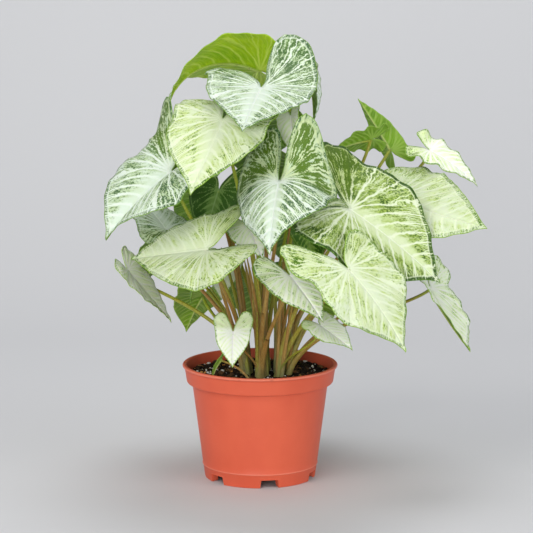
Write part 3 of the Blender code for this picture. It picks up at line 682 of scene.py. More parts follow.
def place_margin(back, ahead, out, values, side):
    """One control point of a half blade's edge, in shares of the leaf's length."""
    forward = back * values["lobes"][side] + ahead
    sideways = out * values["width"]
    if ahead > 0:
        sideways *= 1 + values["full"] * math.sin(math.pi * ahead)
    sideways *= 1 - values["waist"] * math.exp(-((forward + 0.12) / 0.16) ** 2)
    turn = math.radians(values["splay"][side]) * min(max(-back / 0.6, 0), 1)
    return (forward * math.cos(turn) + sideways * math.sin(turn),
            sideways * math.cos(turn) - forward * math.sin(turn))


def half_blade(values, side, rows, columns):
    """Flat grid of one half blade, in shares of the leaf's length, and its two edges."""
    outer = [place_margin(*row, values, side) for row in OUTER_EDGE]
    inner = [place_margin(back, 0, out, values, side) for back, out in INNER_EDGE]
    in_lobe = rows < LOBE_SHARE
    share = np.clip(rows / LOBE_SHARE, 0, 1) * LOBE_SPANS
    body = np.clip((rows - LOBE_SHARE) / (1 - LOBE_SHARE), 0, 1)
    edge = curve_through(outer, np.where(in_lobe, share, LOBE_SPANS + body * BODY_SPANS))
    root = curve_through(inner, share)
    root[~in_lobe] = np.stack([body[~in_lobe], 0 * body[~in_lobe]], 1)
    grid = root[:, None] * (1 - columns)[None, :, None] + edge[:, None] * columns[None, :, None]
    return grid, root, edge


def margin_gap(grid, root, edge, rows):
    """Distance of each flat point from the blade's margin, in shares of the leaf's length."""
    shore = np.vstack([edge, root[rows < LOBE_SHARE]])
    near = [np.linalg.norm(line[:, None] - shore[None], axis=-1).min(1) for line in grid]
    return np.minimum(np.array(near), np.linalg.norm(edge[:, None] - grid, axis=-1))


def vein_fields(values, side, grid, root, edge, rows, columns):
    """Where each flat point lies among the veins and how far it is from the margin, in millimetres."""
    length = values["length"]
    x = grid[..., 0]
    y = grid[..., 1]
    start = x - VEIN_SLANT * y - VEIN_SWEEP * y * y / values["width"]
    reach = np.hypot(x - np.clip(start, 0, None), y)
    fan = np.clip(np.arctan2(y, x + 1e-6) - math.atan2(1, VEIN_SLANT + 0.35), 0, None)
    vein = np.where(start > 0, start / VEIN_SPACING, -fan / FAN_STEP)
    body_gauge = VEIN_SPACING * 0.72 * length
    fan_gauge = np.clip(FAN_STEP * reach * length, 0.3, body_gauge * 1.4)
    near_sinus = 0.3 + np.clip(start, 0, None) * length * 1.5 + fan_gauge
    gauge = np.where(start > 0, np.minimum(body_gauge, near_sinus), fan_gauge)
    gap = margin_gap(grid, root, edge, rows)
    return dict(
        vein=vein, gauge=gauge, out=reach / (reach + gap + 1e-6),
        lobe=np.clip((0.05 - x) / 0.2, 0, 1) * values["green"][side],
        rib=np.where(x > -0.01, y * length * (1 + 0.9 * np.clip(x, 0, 1)), 99.0),
        edge=gap * length, across=columns[None] + 0 * rows[:, None],
        ring=gap * length - RIM_SHARE * length - RIM_EXTRA,
        grain=np.stack([vein * gauge, reach * length, 0 * x], -1),
    )


def bend_blade(values, side, grid, fields):
    """Fold, curl, wave, twist and arch the flat grid, in millimetres."""
    x = grid[..., 0]
    y = grid[..., 1]
    length = values["length"]
    across = np.clip(fields["across"], 0, 1)
    sign, phase = (1, 0.0) if side == 0 else (-1, 0.5)
    share = np.clip(y / values["width"], 0, 1.3)
    z = y * (math.tan(math.radians(values["fold"])) - math.tan(math.radians(values["curl"])) * share)
    z = z + values["wave"] * share ** 2 * np.sin(2 * np.pi * (values["waves"] * x + phase))
    behind = np.clip(-x, 0, None)
    z = z + math.tan(math.radians(values["lift"][side])) * behind * behind / values["lobes"][side]
    quilt = (0.5 - 0.5 * np.cos(2 * np.pi * fields["vein"])) * np.sin(np.pi * across)
    z = z + quilt * np.clip(fields["gauge"] / 9, 0, 1) * QUILT_HEIGHT / length
    z = z - RIB_DEPTH / length * np.exp(-(fields["rib"] / 1.1) ** 2)
    ripple = np.sin(2 * np.pi * (6.3 * x + phase * 1.7 + length * 0.37))
    z = z + EDGE_RIPPLE * ripple * across ** 5
    twist = np.radians(values["twist"]) * x
    sideways = sign * y * np.cos(twist) - z * np.sin(twist)
    z = sign * y * np.sin(twist) + z * np.cos(twist)
    bend = math.radians(values["arch"]) + 1e-6
    angle = np.clip(x, 0, None) * bend
    ahead = np.where(x > 0, np.sin(angle) / bend, x)
    drop = np.where(x > 0, -(1 - np.cos(angle)) / bend, 0.0)
    return np.stack([ahead + z * np.sin(angle), sideways, drop + z * np.cos(angle)], -1) * length


def leaf_axes(values):
    """Midrib direction, the blade's plus side and its upper normal, as rows."""
    heading, down, roll = (math.radians(values[key]) for key in ("heading", "tip_down", "roll"))
    flat_part = math.cos(down)
    midrib = np.array([math.sin(heading) * flat_part, -math.cos(heading) * flat_part, -math.sin(down)])
    level = np.array([math.cos(heading), math.sin(heading), 0.0])
    up = np.cross(midrib, level)
    side = level * math.cos(roll) + up * math.sin(roll)
    normal = up * math.cos(roll) - level * math.sin(roll)
    return np.stack([midrib, side, normal])


def new_piece(name, points, faces, materials, smooth=True):
    """Mesh object in the model's frame from points in millimetres about the pot's axis."""
    points = (np.asarray(points, float) + [POT_X, POT_Y, 0]) * MM
    mesh = bpy.data.meshes.new(name)
    mesh.from_pydata(points.tolist(), [], faces)
    for material in materials:
        mesh.materials.append(material)
    if smooth:
        mesh.shade_smooth()
    piece = bpy.data.objects.new(name, mesh)
    bpy.context.scene.collection.objects.link(piece)
    return piece


def give(mesh, name, values):
    """Store one number or one vector at each point."""
    values = np.asarray(values, np.float32)
    if values.ndim == 1:
        mesh.attributes.new(name, "FLOAT", "POINT").data.foreach_set("value", values)
    else:
        mesh.attributes.new(name, "FLOAT_VECTOR", "POINT").data.foreach_set("vector", values.ravel())


def blade_points(values, number):
    """Points, faces and stored values of a whole blade. Its halves share the midrib and the tip."""
    count, width = FINE_GRID if values["fine"] else PLAIN_GRID
    lobe_rows = int(count * LOBE_ROWS)
    rows = np.concatenate([np.linspace(0, LOBE_SHARE, lobe_rows, endpoint=False),
                           np.linspace(LOBE_SHARE, 1, count - lobe_rows)])
    columns = np.linspace(0, 1, width + 1) ** 0.9
    last = len(rows) - 1
    points = []
    flats = []
    stored = {}
    index = {}
    faces = []
    for side in (0, 1):
        grid, root, edge = half_blade(values, side, rows, columns)
        fields = vein_fields(values, side, grid, root, edge, rows, columns)
        space = bend_blade(values, side, grid, fields) @ leaf_axes(values) + np.array(values["at"], float)
        number_at = np.zeros(grid.shape[:2], int)
        for row, column in np.ndindex(last + 1, width + 1):
            if row == last:
                key = "tip"
            elif row == 0:
                key = ("lobe", side)
            elif column == 0 and row >= lobe_rows:
                key = ("rib", row)
            else:
                key = (side, row, column)
            if key not in index:
                index[key] = len(points)
                points.append(space[row, column])
                x, y = grid[row, column] * values["length"]
                flats.append((x, -y if side else y, number * LEAF_OFFSET + side * HALF_OFFSET))
                for name, field in fields.items():
                    stored.setdefault(name, []).append(field[row, column])
            number_at[row, column] = index[key]
        for row, column in np.ndindex(last, width):
            loop = []
            for a, b in ((row, column), (row + 1, column), (row + 1, column + 1), (row, column + 1)):
                if number_at[a, b] not in loop:
                    loop.append(int(number_at[a, b]))
            if len(loop) > 2:
                faces.append(tuple(reversed(loop)) if side else tuple(loop))
    stored = {name: np.array(field) for name, field in stored.items()}
    stored["grain"][:, 2] = number * LEAF_OFFSET
    stored["flat"] = flats
    return points, faces, stored


def make_blade(node, values, number, finish):
    """One blade with its thickness; the second material is for its underside."""
    points, faces, stored = blade_points(values, number)
    blade = new_piece(node + "_blade", points, faces, finish)
    up = Vector(leaf_axes(values)[2])
    if sum(face.normal.dot(up) * face.area for face in blade.data.polygons) < 0:
        blade.data.flip_normals()
    for name, field in stored.items():
        give(blade.data, name, field)
    solid = blade.modifiers.new("thickness", "SOLIDIFY")
    solid.thickness = BLADE_THICKNESS * MM
    solid.offset = -1.0
    solid.material_offset = 1
    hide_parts(node)
    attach(blade, "root")


def soil_height(x, y):
    waves = np.sin(0.21 * x + 0.6) * np.cos(0.19 * y - 0.4) + 0.6 * np.sin(0.13 * x - 0.24 * y)
    return SOIL_LEVEL + SOIL_UNEVEN * waves + 0.01 * (y - x)


def stalk_path(values, base):
    """The stalk's centre line from the shoot to the sinus."""
    midrib, _, normal = leaf_axes(values)
    start = np.array([base[0], base[1], soil_height(*base) + 0.5])
    seat = np.array(values["at"], float) + midrib * 1.6
    lean = np.array([seat[0] - start[0], seat[1] - start[1], 0.0])
    outward = lean / max(np.linalg.norm(lean), 1e-6)
    arrive = normal * 0.55 + np.array([0, 0, 0.75]) + outward * values["reach"]
    arrive = arrive / np.linalg.norm(arrive)
    reach = np.linalg.norm(seat - start)
    first = start + np.array([0, 0, 0.45 * (seat[2] - start[2])]) + lean * 0.10
    second = seat - arrive * 0.28 * reach
    if values["bow"]:
        second = second + np.array(values["bow"])
        first = first + np.array(values["bow"]) * 0.6
    end = seat - normal * 0.9
    t = np.linspace(0, 1, STALK_STEPS)[:, None]
    u = 1 - t
    return start * u ** 3 + first * 3 * u * u * t + second * 3 * u * t * t + end * t ** 3


def rib_path(values, depth):
    """The midrib's ridge on the blade's underside."""
    axes = leaf_axes(values)
    x = np.linspace(0.03, 0.86, RIB_STEPS)
    grid = np.stack([x, 0 * x], -1)[:, None]
    fields = dict.fromkeys(("across", "vein", "gauge", "rib"), np.zeros((RIB_STEPS, 1)))
    line = bend_blade(values, 0, grid, fields)[:, 0] @ axes + np.array(values["at"], float)
    aside = grid + [0.0, 0.004]
    plus = bend_blade(values, 0, aside, fields)[:, 0] @ axes
    minus = bend_blade(values, 1, aside, fields)[:, 0] @ axes
    normal = np.cross(np.gradient(line, axis=0), plus - minus)
    normal /= np.linalg.norm(normal, axis=1)[:, None]
    normal *= np.sign(normal @ axes[2])[:, None]
    return line - normal * (depth + 0.15)[:, None]


def frames_along(path, side_way):
    """Two directions square to the path at each of its points, turning as little as they can."""
    along = np.gradient(path, axis=0)
    along /= np.linalg.norm(along, axis=1)[:, None]
    frames = []
    for way in along:
        side_way = side_way - way * side_way.dot(way)
        side_way /= np.linalg.norm(side_way)
        frames.append((side_way, np.cross(way, side_way)))
    return frames


def arc_round(turn, frame):
    """Directions at angles turn about a path, from one of its frames."""
    side_way, across = frame
    return np.cos(turn)[:, None] * side_way + np.sin(turn)[:, None] * across


def sweep(path, radii, groove, inward):
    """Points and faces of a closed tube along a path; a groove hollows the side that faces inward."""
    sides = STALK_SIDES
    turn = 2 * np.pi * np.arange(sides) / sides
    around = np.abs((turn + np.pi) % (2 * np.pi) - np.pi)
    hollow = 1 - groove * np.exp(-(around / 0.55) ** 2)
    points = [middle + (radius * hollow)[:, None] * arc_round(turn, frame)
              for middle, radius, frame in zip(path, radii, frames_along(path, inward))]
    count = len(path)
    faces = []
    for k in range(count - 1):
        for s in range(sides):
            n = (s + 1) % sides
            faces.append((k * sides + s, k * sides + n, (k + 1) * sides + n, (k + 1) * sides + s))
    faces.append(tuple(reversed(range(sides))))
    faces.append(tuple(range((count - 1) * sides, count * sides)))
    return np.concatenate(points), faces


class Bundle:
    """Points, faces and stored values of the stalks that one piece holds."""

    def __init__(self):
        self.points = []
        self.faces = []
        self.slots = []
        self.stored = {"along": [], "place": [], "tone": []}

    def add(self, points, faces, along, slot, seed, tone):
        first = len(self.points)
        self.points.extend(points)
        self.faces.extend(tuple(first + corner for corner in face) for face in faces)
        self.slots.extend([slot] * len(faces))
        self.stored["along"].extend(along)
        self.stored["place"].extend(np.asarray(points) + [seed * STALK_OFFSET, 0, 0])
        self.stored["tone"].extend([tone] * len(points))


def leaf_stalk(values, base, seed, random):
    """Centre line, radii and share of the way up of one leaf's stalk below the blade."""
    small = values["length"] <= SMALL_LEAF
    path = stalk_path(values, base)
    spread = random.uniform(-1, 1, 2) * (0.6 if small else 1.3)
    foot = np.linspace(1, 0, STALK_STEPS) ** 3
    path[:, :2] += spread[None] * foot[:, None]
    path = np.vstack([path[0] - [0, 0, 7.0], path[0] - [0, 0, 3.0], path])
    t = np.clip((np.arange(len(path)) - 2) / (STALK_STEPS - 1), 0, 1)
    low = STALK_LOW_RADIUS * random.uniform(0.74, 0.96)
    radii = low + (STALK_TOP_RADIUS - low) * np.minimum(1, t * 1.5) ** 0.7
    radii = radii * (1 + 0.05 * np.sin(9 * t + seed))
    radii[-3:] *= [1.0, 1.06, 1.0]
    if small:
        radii = np.maximum(0.55, radii * 0.55)
    return path, radii, t


def make_shoot(node, base, skin, sheath_skin, random):
    """The stalks of one young plant, with their midribs, sheaths and spare rolls."""
    bundle = Bundle()
    inward = np.array([CLUMP_MIDDLE[0] - base[0], CLUMP_MIDDLE[1] - base[1], 0.0])
    inward = inward / np.linalg.norm(inward)
    seed = 0
    for values in LEAVES.values():
        if values["shoot"] != node:
            continue
        seed += 1
        tone = random.uniform(0.1, 1.0)
        path, radii, t = leaf_stalk(values, base, seed, random)
        rib_radii = np.linspace(radii[-1] * 0.8, 0.2, RIB_STEPS)
        full_path = np.vstack([path, rib_path(values, rib_radii)])
        share = np.concatenate([t * 0.93, np.linspace(0.96, 1.0, RIB_STEPS)])
        tube = sweep(full_path, np.concatenate([radii, rib_radii]), 0.28, inward)
        bundle.add(*tube, np.repeat(share, STALK_SIDES), 0, seed, tone)
        if values["length"] <= SMALL_LEAF or random.random() < 0.25:
            continue
        reach = random.uniform(0.28, 0.5)
        sheath = make_sheath(path, radii, reach, inward, random)
        bundle.add(*sheath, 1 if random.random() < 0.2 else 0, seed, tone)
    for _ in range(SPARE_SHEATHS.get(node, 0)):
        seed += 1
        path, radii = spare_path(base, random)
        share = np.repeat(np.linspace(0, 0.75, len(path)), STALK_SIDES)
        bundle.add(*sweep(path, radii, 0.35, inward), share, 0, seed, random.random())
    piece = new_piece(node + "_stalks", bundle.points, bundle.faces, [skin, sheath_skin])
    piece.data.polygons.foreach_set("material_index", bundle.slots)
    for name, field in bundle.stored.items():
        give(piece.data, name, field)
    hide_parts(node)
    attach(piece, "root")


def spare_path(base, random):
    """A leaf not yet open or an old sheath: a short tapered roll that stands among the stalks."""
    height = random.uniform(45, 105)
    away = np.array([base[0] - CLUMP_X, base[1], 0.0]) * 0.011 + np.append(random.normal(0, 0.07, 2), 0)
    foot = np.array([base[0], base[1], 0.0]) + np.append(random.uniform(-3.4, 3.4, 2), 0)
    foot[2] = soil_height(foot[0], foot[1]) - 4
    t = np.linspace(0, 1, 24)
    path = foot + np.stack([away[0] * height * t ** 1.4, away[1] * height * t ** 1.4, height * t], 1)
    widest = random.uniform(1.5, 2.3)
    radii = widest * (1 - 0.45 * t) * np.clip((1 - t) * 6, 0.12, 1) ** 0.6
    return path, radii


def make_sheath(path, radii, reach, inward, random):
    """A thin open wing that wraps the lower part of a stalk and ends in a point."""
    steps = max(4, int(len(path) * reach))
    arc = SHEATH_ARC
    turn_by = random.uniform(-0.6, 0.6)
    bell = 0.10 * np.abs(np.linspace(-1, 1, arc)) ** 2
    outer = []
    inner = []
    share = []
    for k, frame in enumerate(frames_along(path, inward)[:steps]):
        s = k / (steps - 1)
        wrap = math.radians(SHEATH_WRAP) * (1 - 0.72 * s ** 2.5)
        ring = arc_round(math.pi + turn_by + np.linspace(-0.5, 0.5, arc) * wrap, frame)
        flare = 1.06 + 0.18 * (1 - s) ** 1.3 + bell
        outer.append(path[k] + ring * (radii[k] * flare + 0.18)[:, None])
        inner.append(path[k] + ring * (radii[k] * flare - 0.10)[:, None])
        share.extend([s * 0.5] * arc)
    half = steps * arc
    faces = []
    for k in range(steps - 1):
        for a in range(k * arc, k * arc + arc - 1):
            faces.append((a, a + 1, a + arc + 1, a + arc))
            faces.append((half + a, half + a + arc, half + a + arc + 1, half + a + 1))
        a = k * arc
        faces.append((a, a + arc, half + a + arc, half + a))
        a = k * arc + arc - 1
        faces.append((half + a, half + a + arc, a + arc, a))
    for a in range(arc - 1):
        faces.append((a, a + 1, half + a + 1, half + a))
    for a in range(half - arc, half - 1):
        faces.append((half + a, half + a + 1, a + 1, a))
    return np.concatenate(outer + inner), faces, share + share


def circle(radius, sides):
    """x and y of points round the pot's axis."""
    turn = 2 * np.pi * np.arange(sides) / sides
    return radius * np.cos(turn), radius * np.sin(turn)


def lathe_points(profile, sides):
    """Points and faces of a profile turned about the pot's axis."""
    points = []
    rings = []
    for radius, height in profile:
        if radius < 0.001:
            rings.append([len(points)])
            points.append((0.0, 0.0, height))
            continue
        rings.append(list(range(len(points), len(points) + sides)))
        points.extend(zip(*circle(radius, sides), np.full(sides, height)))
    faces = []
    for first, second in zip(rings, rings[1:]):
        for k in range(sides):
            n = (k + 1) % sides
            if len(first) == 1:
                faces.append((first[0], second[n], second[k]))
            elif len(second) == 1:
                faces.append((first[k], first[n], second[0]))
            else:
                faces.append((first[k], first[n], second[n], second[k]))
    return points, faces


def recalculate(piece):
    """Turn every face outward."""
    work = bmesh.new()
    work.from_mesh(piece.data)
    bmesh.ops.recalc_face_normals(work, faces=work.faces)
    work.to_mesh(piece.data)
    work.free()


def rounded(corner, before, after, radius, steps):
    """Arc that rounds one corner of a profile."""
    corner, before, after = (np.array(p, float) for p in (corner, before, after))
    back = before - corner
    ahead = after - corner
    start = corner + back / np.linalg.norm(back) * radius
    end = corner + ahead / np.linalg.norm(ahead) * radius
    t = np.linspace(0, 1, steps + 1)[:, None]
    return [tuple(point) for point in start * (1 - t) ** 2 + corner * 2 * t * (1 - t) + end * t * t]


def wedge(turn, low, near, far):
    """Corners of a block that points at the axis; near and far give radius, low and top width, and top."""
    corners = []
    for radius, low_width, top_width, top in (near, far):
        for height, half, sides in ((low, low_width / 2, (-1, 1)), (top, top_width / 2, (1, -1))):
            for side in sides:
                x = radius * math.cos(turn) - side * half * math.sin(turn)
                y = radius * math.sin(turn) + side * half * math.cos(turn)
                corners.append((x, y, height))
    return corners


def block(name, corners):
    """A closed block from eight corners."""
    faces = []
    for a, b, c, d in [(0, 1, 2, 3), (4, 5, 6, 7), (0, 1, 5, 4), (1, 2, 6, 5), (2, 3, 7, 6), (3, 0, 4, 7)]:
        faces.append((a, b, c))
        faces.append((a, c, d))
    piece = new_piece(name, corners, faces, [], smooth=False)
    recalculate(piece)
    return piece


def cut_or_join(piece, others, operation):
    """Take a group of tool shapes from the piece, or add them to it."""
    group = bpy.data.collections.new(piece.name + "_tools")
    bpy.context.scene.collection.children.link(group)
    for other in others:
        bpy.context.scene.collection.objects.unlink(other)
        group.objects.link(other)
    step = piece.modifiers.new(operation.lower(), "BOOLEAN")
    step.operation = operation
    step.operand_type = "COLLECTION"
    step.collection = group
    step.solver = "EXACT"
    bpy.context.view_layer.update()
    graph = bpy.context.evaluated_depsgraph_get()
    mesh = bpy.data.meshes.new_from_object(piece.evaluated_get(graph))
    piece.modifiers.clear()
    piece.data = mesh
    for other in list(group.objects):
        bpy.data.objects.remove(other, do_unlink=True)
    bpy.data.collections.remove(group)


def body_radius(height):
    """Outside radius of the pot's body."""
    return BASE_RADIUS + (BODY_TOP_RADIUS - BASE_RADIUS) / BAND_LOW * height


def pot_profile():
    """The pot's section: under the floor, foot, ridge, body, band, bead, lip, inner step and floor."""
    floor_under = (body_radius(FLOOR_UNDER) - SKIRT_WALL, FLOOR_UNDER)
    foot_inner = (BASE_RADIUS - SKIRT_WALL, 0.0)
    foot_outer = (BASE_RADIUS - 0.25, 0.0)
    profile = [(0.0, FLOOR_UNDER), (20.0, FLOOR_UNDER), floor_under]
    profile += rounded(foot_inner, floor_under, foot_outer, 0.25, 3)
    profile += rounded(foot_outer, foot_inner, (body_radius(5), 5), 0.75, 5)
    for rise, stand in ((-0.9, 0.0), (-0.35, 0.28), (0.0, 0.5), (0.35, 0.28), (0.9, 0.0)):
        profile.append((body_radius(RIDGE_HEIGHT + rise) + stand, RIDGE_HEIGHT + rise))
    for height in np.linspace(RIDGE_HEIGHT + 6, BAND_LOW - 2.5, 8):
        profile.append((body_radius(height), height))
    neck = (BODY_TOP_RADIUS, BAND_LOW)
    shelf = (BAND_LOW_RADIUS - 0.15, BAND_LOW + 0.15)
    profile += rounded(neck, (body_radius(60), 60), shelf, 0.8, 4)
    profile += rounded(shelf, neck, (BAND_TOP_RADIUS, POT_HEIGHT - 2.4), 1.5, 7)
    under_bead = (BAND_TOP_RADIUS, POT_HEIGHT - 2.6)
    profile += rounded(under_bead, shelf, (BEAD_RADIUS, POT_HEIGHT - 1.9), 0.5, 3)
    for turn in np.radians(np.linspace(-62, 100, 10)):
        profile.append((BEAD_RADIUS - BEAD_ROLL + BEAD_ROLL * math.cos(turn),
                        POT_HEIGHT - BEAD_ROLL + BEAD_ROLL * math.sin(turn)))
    inner_top = BAND_TOP_RADIUS - WALL
    lip = (inner_top, POT_HEIGHT - 0.25)
    profile += rounded(lip, (BEAD_RADIUS - 1.3, POT_HEIGHT), (inner_top - 0.3, POT_HEIGHT - 3), 0.5, 4)
    step_top = (BAND_LOW_RADIUS - WALL, BAND_LOW + 3.0)
    step_low = (BODY_TOP_RADIUS - WALL, BAND_LOW + 1.2)
    corner = (body_radius(FLOOR_TOP) - WALL, FLOOR_TOP)
    profile += rounded(step_top, lip, step_low, 1.2, 4)
    profile += rounded(step_low, step_top, corner, 1.0, 4)
    profile += rounded(corner, step_low, (0, FLOOR_TOP), 1.2, 4)
    profile.append((0.0, FLOOR_TOP))
    return profile


def drain_hole(name, turn):
    """A round cutter through the floor plate."""
    ring_x, ring_y = circle(DRAIN_HOLE_RADIUS, DRAIN_SIDES)
    ring_x = DRAIN_HOLE_RING * math.cos(turn) + ring_x
    ring_y = DRAIN_HOLE_RING * math.sin(turn) + ring_y
    points = []
    for height in (FLOOR_UNDER - 2, FLOOR_TOP + 2):
        points.extend(zip(ring_x, ring_y, np.full(DRAIN_SIDES, height)))
    faces = [tuple(range(DRAIN_SIDES)), tuple(range(DRAIN_SIDES, 2 * DRAIN_SIDES))]
    for s in range(DRAIN_SIDES):
        n = (s + 1) % DRAIN_SIDES
        faces.append((s, n, DRAIN_SIDES + n, DRAIN_SIDES + s))
    hole = new_piece(name, points, faces, [], smooth=False)
    recalculate(hole)
    return hole


def cut_foot(pot):
    """Bosses over the notches, then the notches and the drain holes between them."""
    boss_top = FLOOR_UNDER + 0.7
    bosses = []
    cutters = []
    for k in range(NOTCHES):
        turn = math.radians(-90 + NOTCH_TURN + 360 / NOTCHES * k)
        ends = [(radius, width, width, boss_top) for radius, width in BOSS_ENDS]
        bosses.append(block("boss_%d" % k, wedge(turn, 0.5, *ends)))
        near = (NOTCH_DEPTH_RADIUS, NOTCH_INNER_LOW, NOTCH_INNER_TOP, NOTCH_HEIGHT - 0.7)
        far = (NOTCH_OUTER_RADIUS, NOTCH_WIDTH + 1.0, NOTCH_WIDTH, NOTCH_HEIGHT)
        cutters.append(block("notch_%d" % k, wedge(turn, -1.0, near, far)))
        cutters.append(drain_hole("drain_%d" % k, turn + math.radians(180 / NOTCHES)))
    cut_or_join(pot, bosses, "UNION")
    cut_or_join(pot, cutters, "DIFFERENCE")


def mark_pot(pot):
    """Store a paler line along the ridge with a painted highlight along the bead, where the moulding marks
    are, and what lies inside, which gets painted shade.
    """
    place = np.empty(len(pot.data.vertices) * 3)
    pot.data.vertices.foreach_get("co", place)
    place = place.reshape(-1, 3) / MM - [POT_X, POT_Y, 0]
    x, y, height = place.T
    radius = np.hypot(x, y)
    wall = np.interp(height, [0, BAND_LOW, BAND_LOW + 1, POT_HEIGHT],
                     [BASE_RADIUS, BODY_TOP_RADIUS, BAND_LOW_RADIUS, BAND_TOP_RADIUS])
    outside = radius > wall - 1.0
    # A paler line along the ridge, then a painted highlight along the bead
    worn = 0.8 * np.exp(-((height - RIDGE_HEIGHT) / 0.3) ** 2) * outside
    worn += 0.5 * np.exp(-((radius - BEAD_RADIUS) / 0.35) ** 2) * outside
    mark = 0 * worn
    for turn, level, wide, tall in POT_MARKS:
        along = (np.arctan2(y, x) - math.radians(turn)) * radius
        mark = np.maximum(mark, np.exp(-(along / wide) ** 2 - ((height - level) / tall) ** 2) * outside)
    give(pot.data, "place", place)
    give(pot.data, "worn", np.clip(worn, 0, 1))
    give(pot.data, "mark", mark)
    # Inner faces, which the plastic darkens as painted shade
    give(pot.data, "inside", np.clip((wall - radius - 0.7) / 0.7, 0, 1) * (height < POT_HEIGHT - 1))


def make_pot(plastic):
    points, faces = lathe_points(pot_profile(), POT_SIDES)
    pot = new_piece("nursery_pot", points, faces, [plastic])
    recalculate(pot)
    cut_foot(pot)
    pot.data.materials.clear()
    pot.data.materials.append(plastic)
    pot.data.shade_smooth()
    pot.data.set_sharp_from_angle(angle=math.radians(32))
    mark_pot(pot)
    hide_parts("pot")
    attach(pot, "root")


def make_soil(ground):
    """The mix up to the wall, uneven on top, over a plain underside that the pot hides."""
    sides = SOIL_SIDES
    points = [(0.0, 0.0, float(soil_height(0, 0)))]
    for k in range(1, SOIL_RINGS + 1):
        x, y = circle(SOIL_EDGE * k / SOIL_RINGS, sides)
        bumps = 0.5 * np.sin(1.1 * x + 0.7 * y) * np.cos(0.9 * y - 0.5 * x)
        bumps = bumps + 0.35 * np.sin(2.3 * x) * np.sin(2.1 * y)
        points.extend(zip(x, y, soil_height(x, y) + bumps - 0.6))
    bottom = FLOOR_TOP + 0.4
    for radius, height in ((SOIL_EDGE, BAND_LOW + 3.6), (BODY_TOP_RADIUS - WALL - 0.6, BAND_LOW + 1.5),
                           (body_radius(FLOOR_TOP) - WALL - 0.5, bottom)):
        points.extend(zip(*circle(radius, sides), np.full(sides, height)))
    points.append((0.0, 0.0, bottom))
    faces = [(0, 1 + s, 1 + (s + 1) % sides) for s in range(sides)]
    for k in range(SOIL_RINGS + 2):
        a = 1 + k * sides
        for s in range(sides):
            n = (s + 1) % sides
            faces.append((a + s, a + sides + s, a + sides + n, a + n))
    a = 1 + (SOIL_RINGS + 2) * sides
    faces += [(a + s, len(points) - 1, a + (s + 1) % sides) for s in range(sides)]
    soil = new_piece("potting_mix_bed", points, faces, [ground])
    recalculate(soil)
    give(soil.data, "place", points)
    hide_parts("soil")
    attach(soil, "root")


def lump_shape():
    """Points and faces of one round lump, for the chips and grains."""
    work = bmesh.new()
    bmesh.ops.create_icosphere(work, subdivisions=2, radius=1.0)
    points = np.array([tuple(v.co) for v in work.verts])
    faces = [tuple(v.index for v in face.verts) for face in work.faces]
    work.free()
    return points, faces


def one_lump(shape, size, flat, rough, random):
    """The round lump made irregular, stretched, spun and tilted."""
    stretch = np.array([random.uniform(0.8, 1.7), random.uniform(0.6, 1.1), random.uniform(*flat)])
    waves = sum(np.sin(shape @ random.normal(0, 2.2, 3) + random.uniform(0, 6.3)) for _ in range(3))
    lump = shape * (1 + rough * waves / 3)[:, None] * stretch * size / 2
    lump = np.clip(lump, -size * 0.62, size * 0.62)
    spin = random.uniform(0, 2 * math.pi)
    tilt = random.normal(0, 0.45)
    cos, sin = math.cos(spin), math.sin(spin)
    lump = lump @ np.array([[cos, sin, 0], [-sin, cos, 0], [0, 0, 1]])
    cos, sin = math.cos(tilt), math.sin(tilt)
    return lump @ np.array([[1, 0, 0], [0, cos, sin], [0, -sin, cos]])


def scatter(name, count, sizes, flat, rough, lift, material, random):
    """Irregular lumps over the mix, in one piece."""
    shape, shape_faces = lump_shape()
    points = []
    faces = []
    tones = []
    place = []
    for k in range(count):
        radius = (SOIL_EDGE - 1.6) * math.sqrt(random.random())
        turn = random.uniform(0, 2 * math.pi)
        x = radius * math.cos(turn)
        y = radius * math.sin(turn)
        if any(math.hypot(x - a, y - b) < CLEAR_OF_SHOOT for a, b in SHOOTS.values()):
            continue
        size = random.uniform(*sizes) * (1.0 if random.random() < 0.8 else 1.35)
        lump = one_lump(shape, size, flat, rough, random)
        pile = 0.9 * max(0.0, (radius - 40) / 15) ** 2
        centre = np.array([x, y, soil_height(x, y) + pile + lift + random.uniform(-0.5, 0.9)])
        over = np.hypot(*(lump + centre)[:, :2].T).max() - (SOIL_EDGE + 0.3)
        if over > 0:
            centre[:2] *= 1 - over / max(radius, 1)
        first = len(points)
        points.extend(lump + centre)
        place.extend(lump + k * LUMP_OFFSET)
        faces.extend(tuple(first + corner for corner in face) for face in shape_faces)
        tones.extend([random.random()] * len(shape))
    piece = new_piece(name, points, faces, [material], smooth=False)
    give(piece.data, "place", place)
    give(piece.data, "tone", tones)
    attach(piece, "root")


def make_stage():
    """Plain pale floor that curves up behind, low enough to look over from the back."""
    m = Maker("stage_grey")
    profile = [(STAGE_FRONT, 0.0), (STAGE_BACK, 0.0)]
    for turn in np.radians(np.linspace(0, STAGE_CURVE, 14))[1:]:
        rise = STAGE_RADIUS - STAGE_RADIUS * math.cos(turn)
        profile.append((STAGE_BACK + STAGE_RADIUS * math.sin(turn), rise))
    points = [(x / MM, y / MM, z / MM) for x in (-STAGE_SIDE, STAGE_SIDE) for y, z in profile]
    count = len(profile)
    faces = [(k, count + k, count + k + 1, k + 1) for k in range(count - 1)]
    floor = new_piece("pale_floor", points, faces, [m.finish(STAGE_COLOUR, 0.75)])


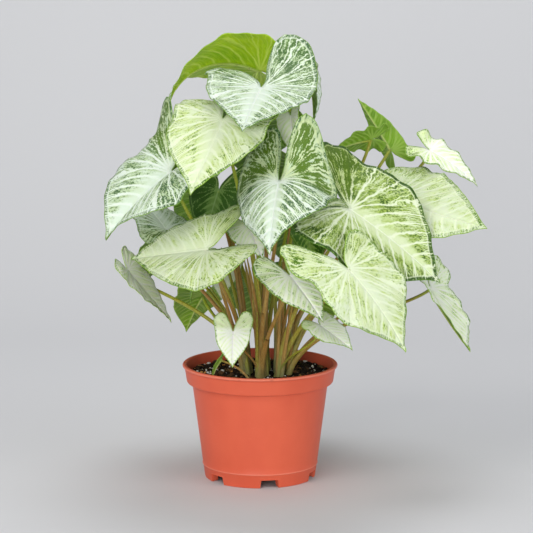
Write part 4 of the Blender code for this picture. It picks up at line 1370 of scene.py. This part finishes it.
def add_light(name, place, aim_height, size, power, colour):
    data = bpy.data.lights.new(name, "AREA")
    data.shape = "DISK"
    data.size = size
    data.energy = power
    data.color = colour
    light = bpy.data.objects.new(name, data)
    light.location = place
    light.rotation_euler = (Vector((0, 0, aim_height)) - Vector(place)).to_track_quat("-Z", "Y").to_euler()
    bpy.context.scene.collection.objects.link(light)


def make_light():
    for light in LIGHTS:
        add_light(*light)
    world = bpy.data.worlds.new("studio")
    world.use_nodes = True
    world.node_tree.nodes["Background"].inputs[0].default_value = (*WORLD_COLOUR, 1.0)
    world.node_tree.nodes["Background"].inputs[1].default_value = WORLD_STRENGTH
    bpy.context.scene.world = world
    bpy.context.scene.view_settings.view_transform = "Standard"


def make_camera():
    """The photograph's view: from the front and a little above, through a long lens."""
    data = bpy.data.cameras.new("camera")
    data.lens = CAMERA_LENS
    data.sensor_width = 36.0
    data.clip_end = 50.0
    camera = bpy.data.objects.new("camera", data)
    aside = (POT_X + CAMERA_ASIDE) * MM
    place = Vector((aside, -CAMERA_BACK + POT_Y * MM, CAMERA_HEIGHT))
    aim = Vector((aside, POT_Y * MM, CAMERA_AIM))
    camera.location = place
    camera.rotation_euler = (aim - place).to_track_quat("-Z", "Y").to_euler()
    bpy.context.scene.collection.objects.link(camera)
    bpy.context.scene.camera = camera


def main():
    random = np.random.RandomState(SEED)
    make_camera()
    make_light()
    make_stage()
    skins = {name: blade_under(name, *colours) for name, colours in BLADE_UNDERS.items()}
    for name, colours in BLADE_TOPS.items():
        skins[name] = blade_top(name, *colours)
    skin = stalk_skin()
    sheath = dry_sheath()
    make_pot(pot_plastic())
    make_soil(mix_ground())
    for bits, finish in zip(LOOSE_BITS, (bark_chip(), perlite_grain(), orange_bit())):
        scatter(*bits, finish, random)
    for name, base in SHOOTS.items():
        make_shoot(name, base, skin, sheath, random)
    for number, (name, values) in enumerate(LEAVES.items()):
        make_blade(name, values, number, [skins[side] for side in FINISHES[values["finish"]]])


main()
bpy.context.view_layer.update()
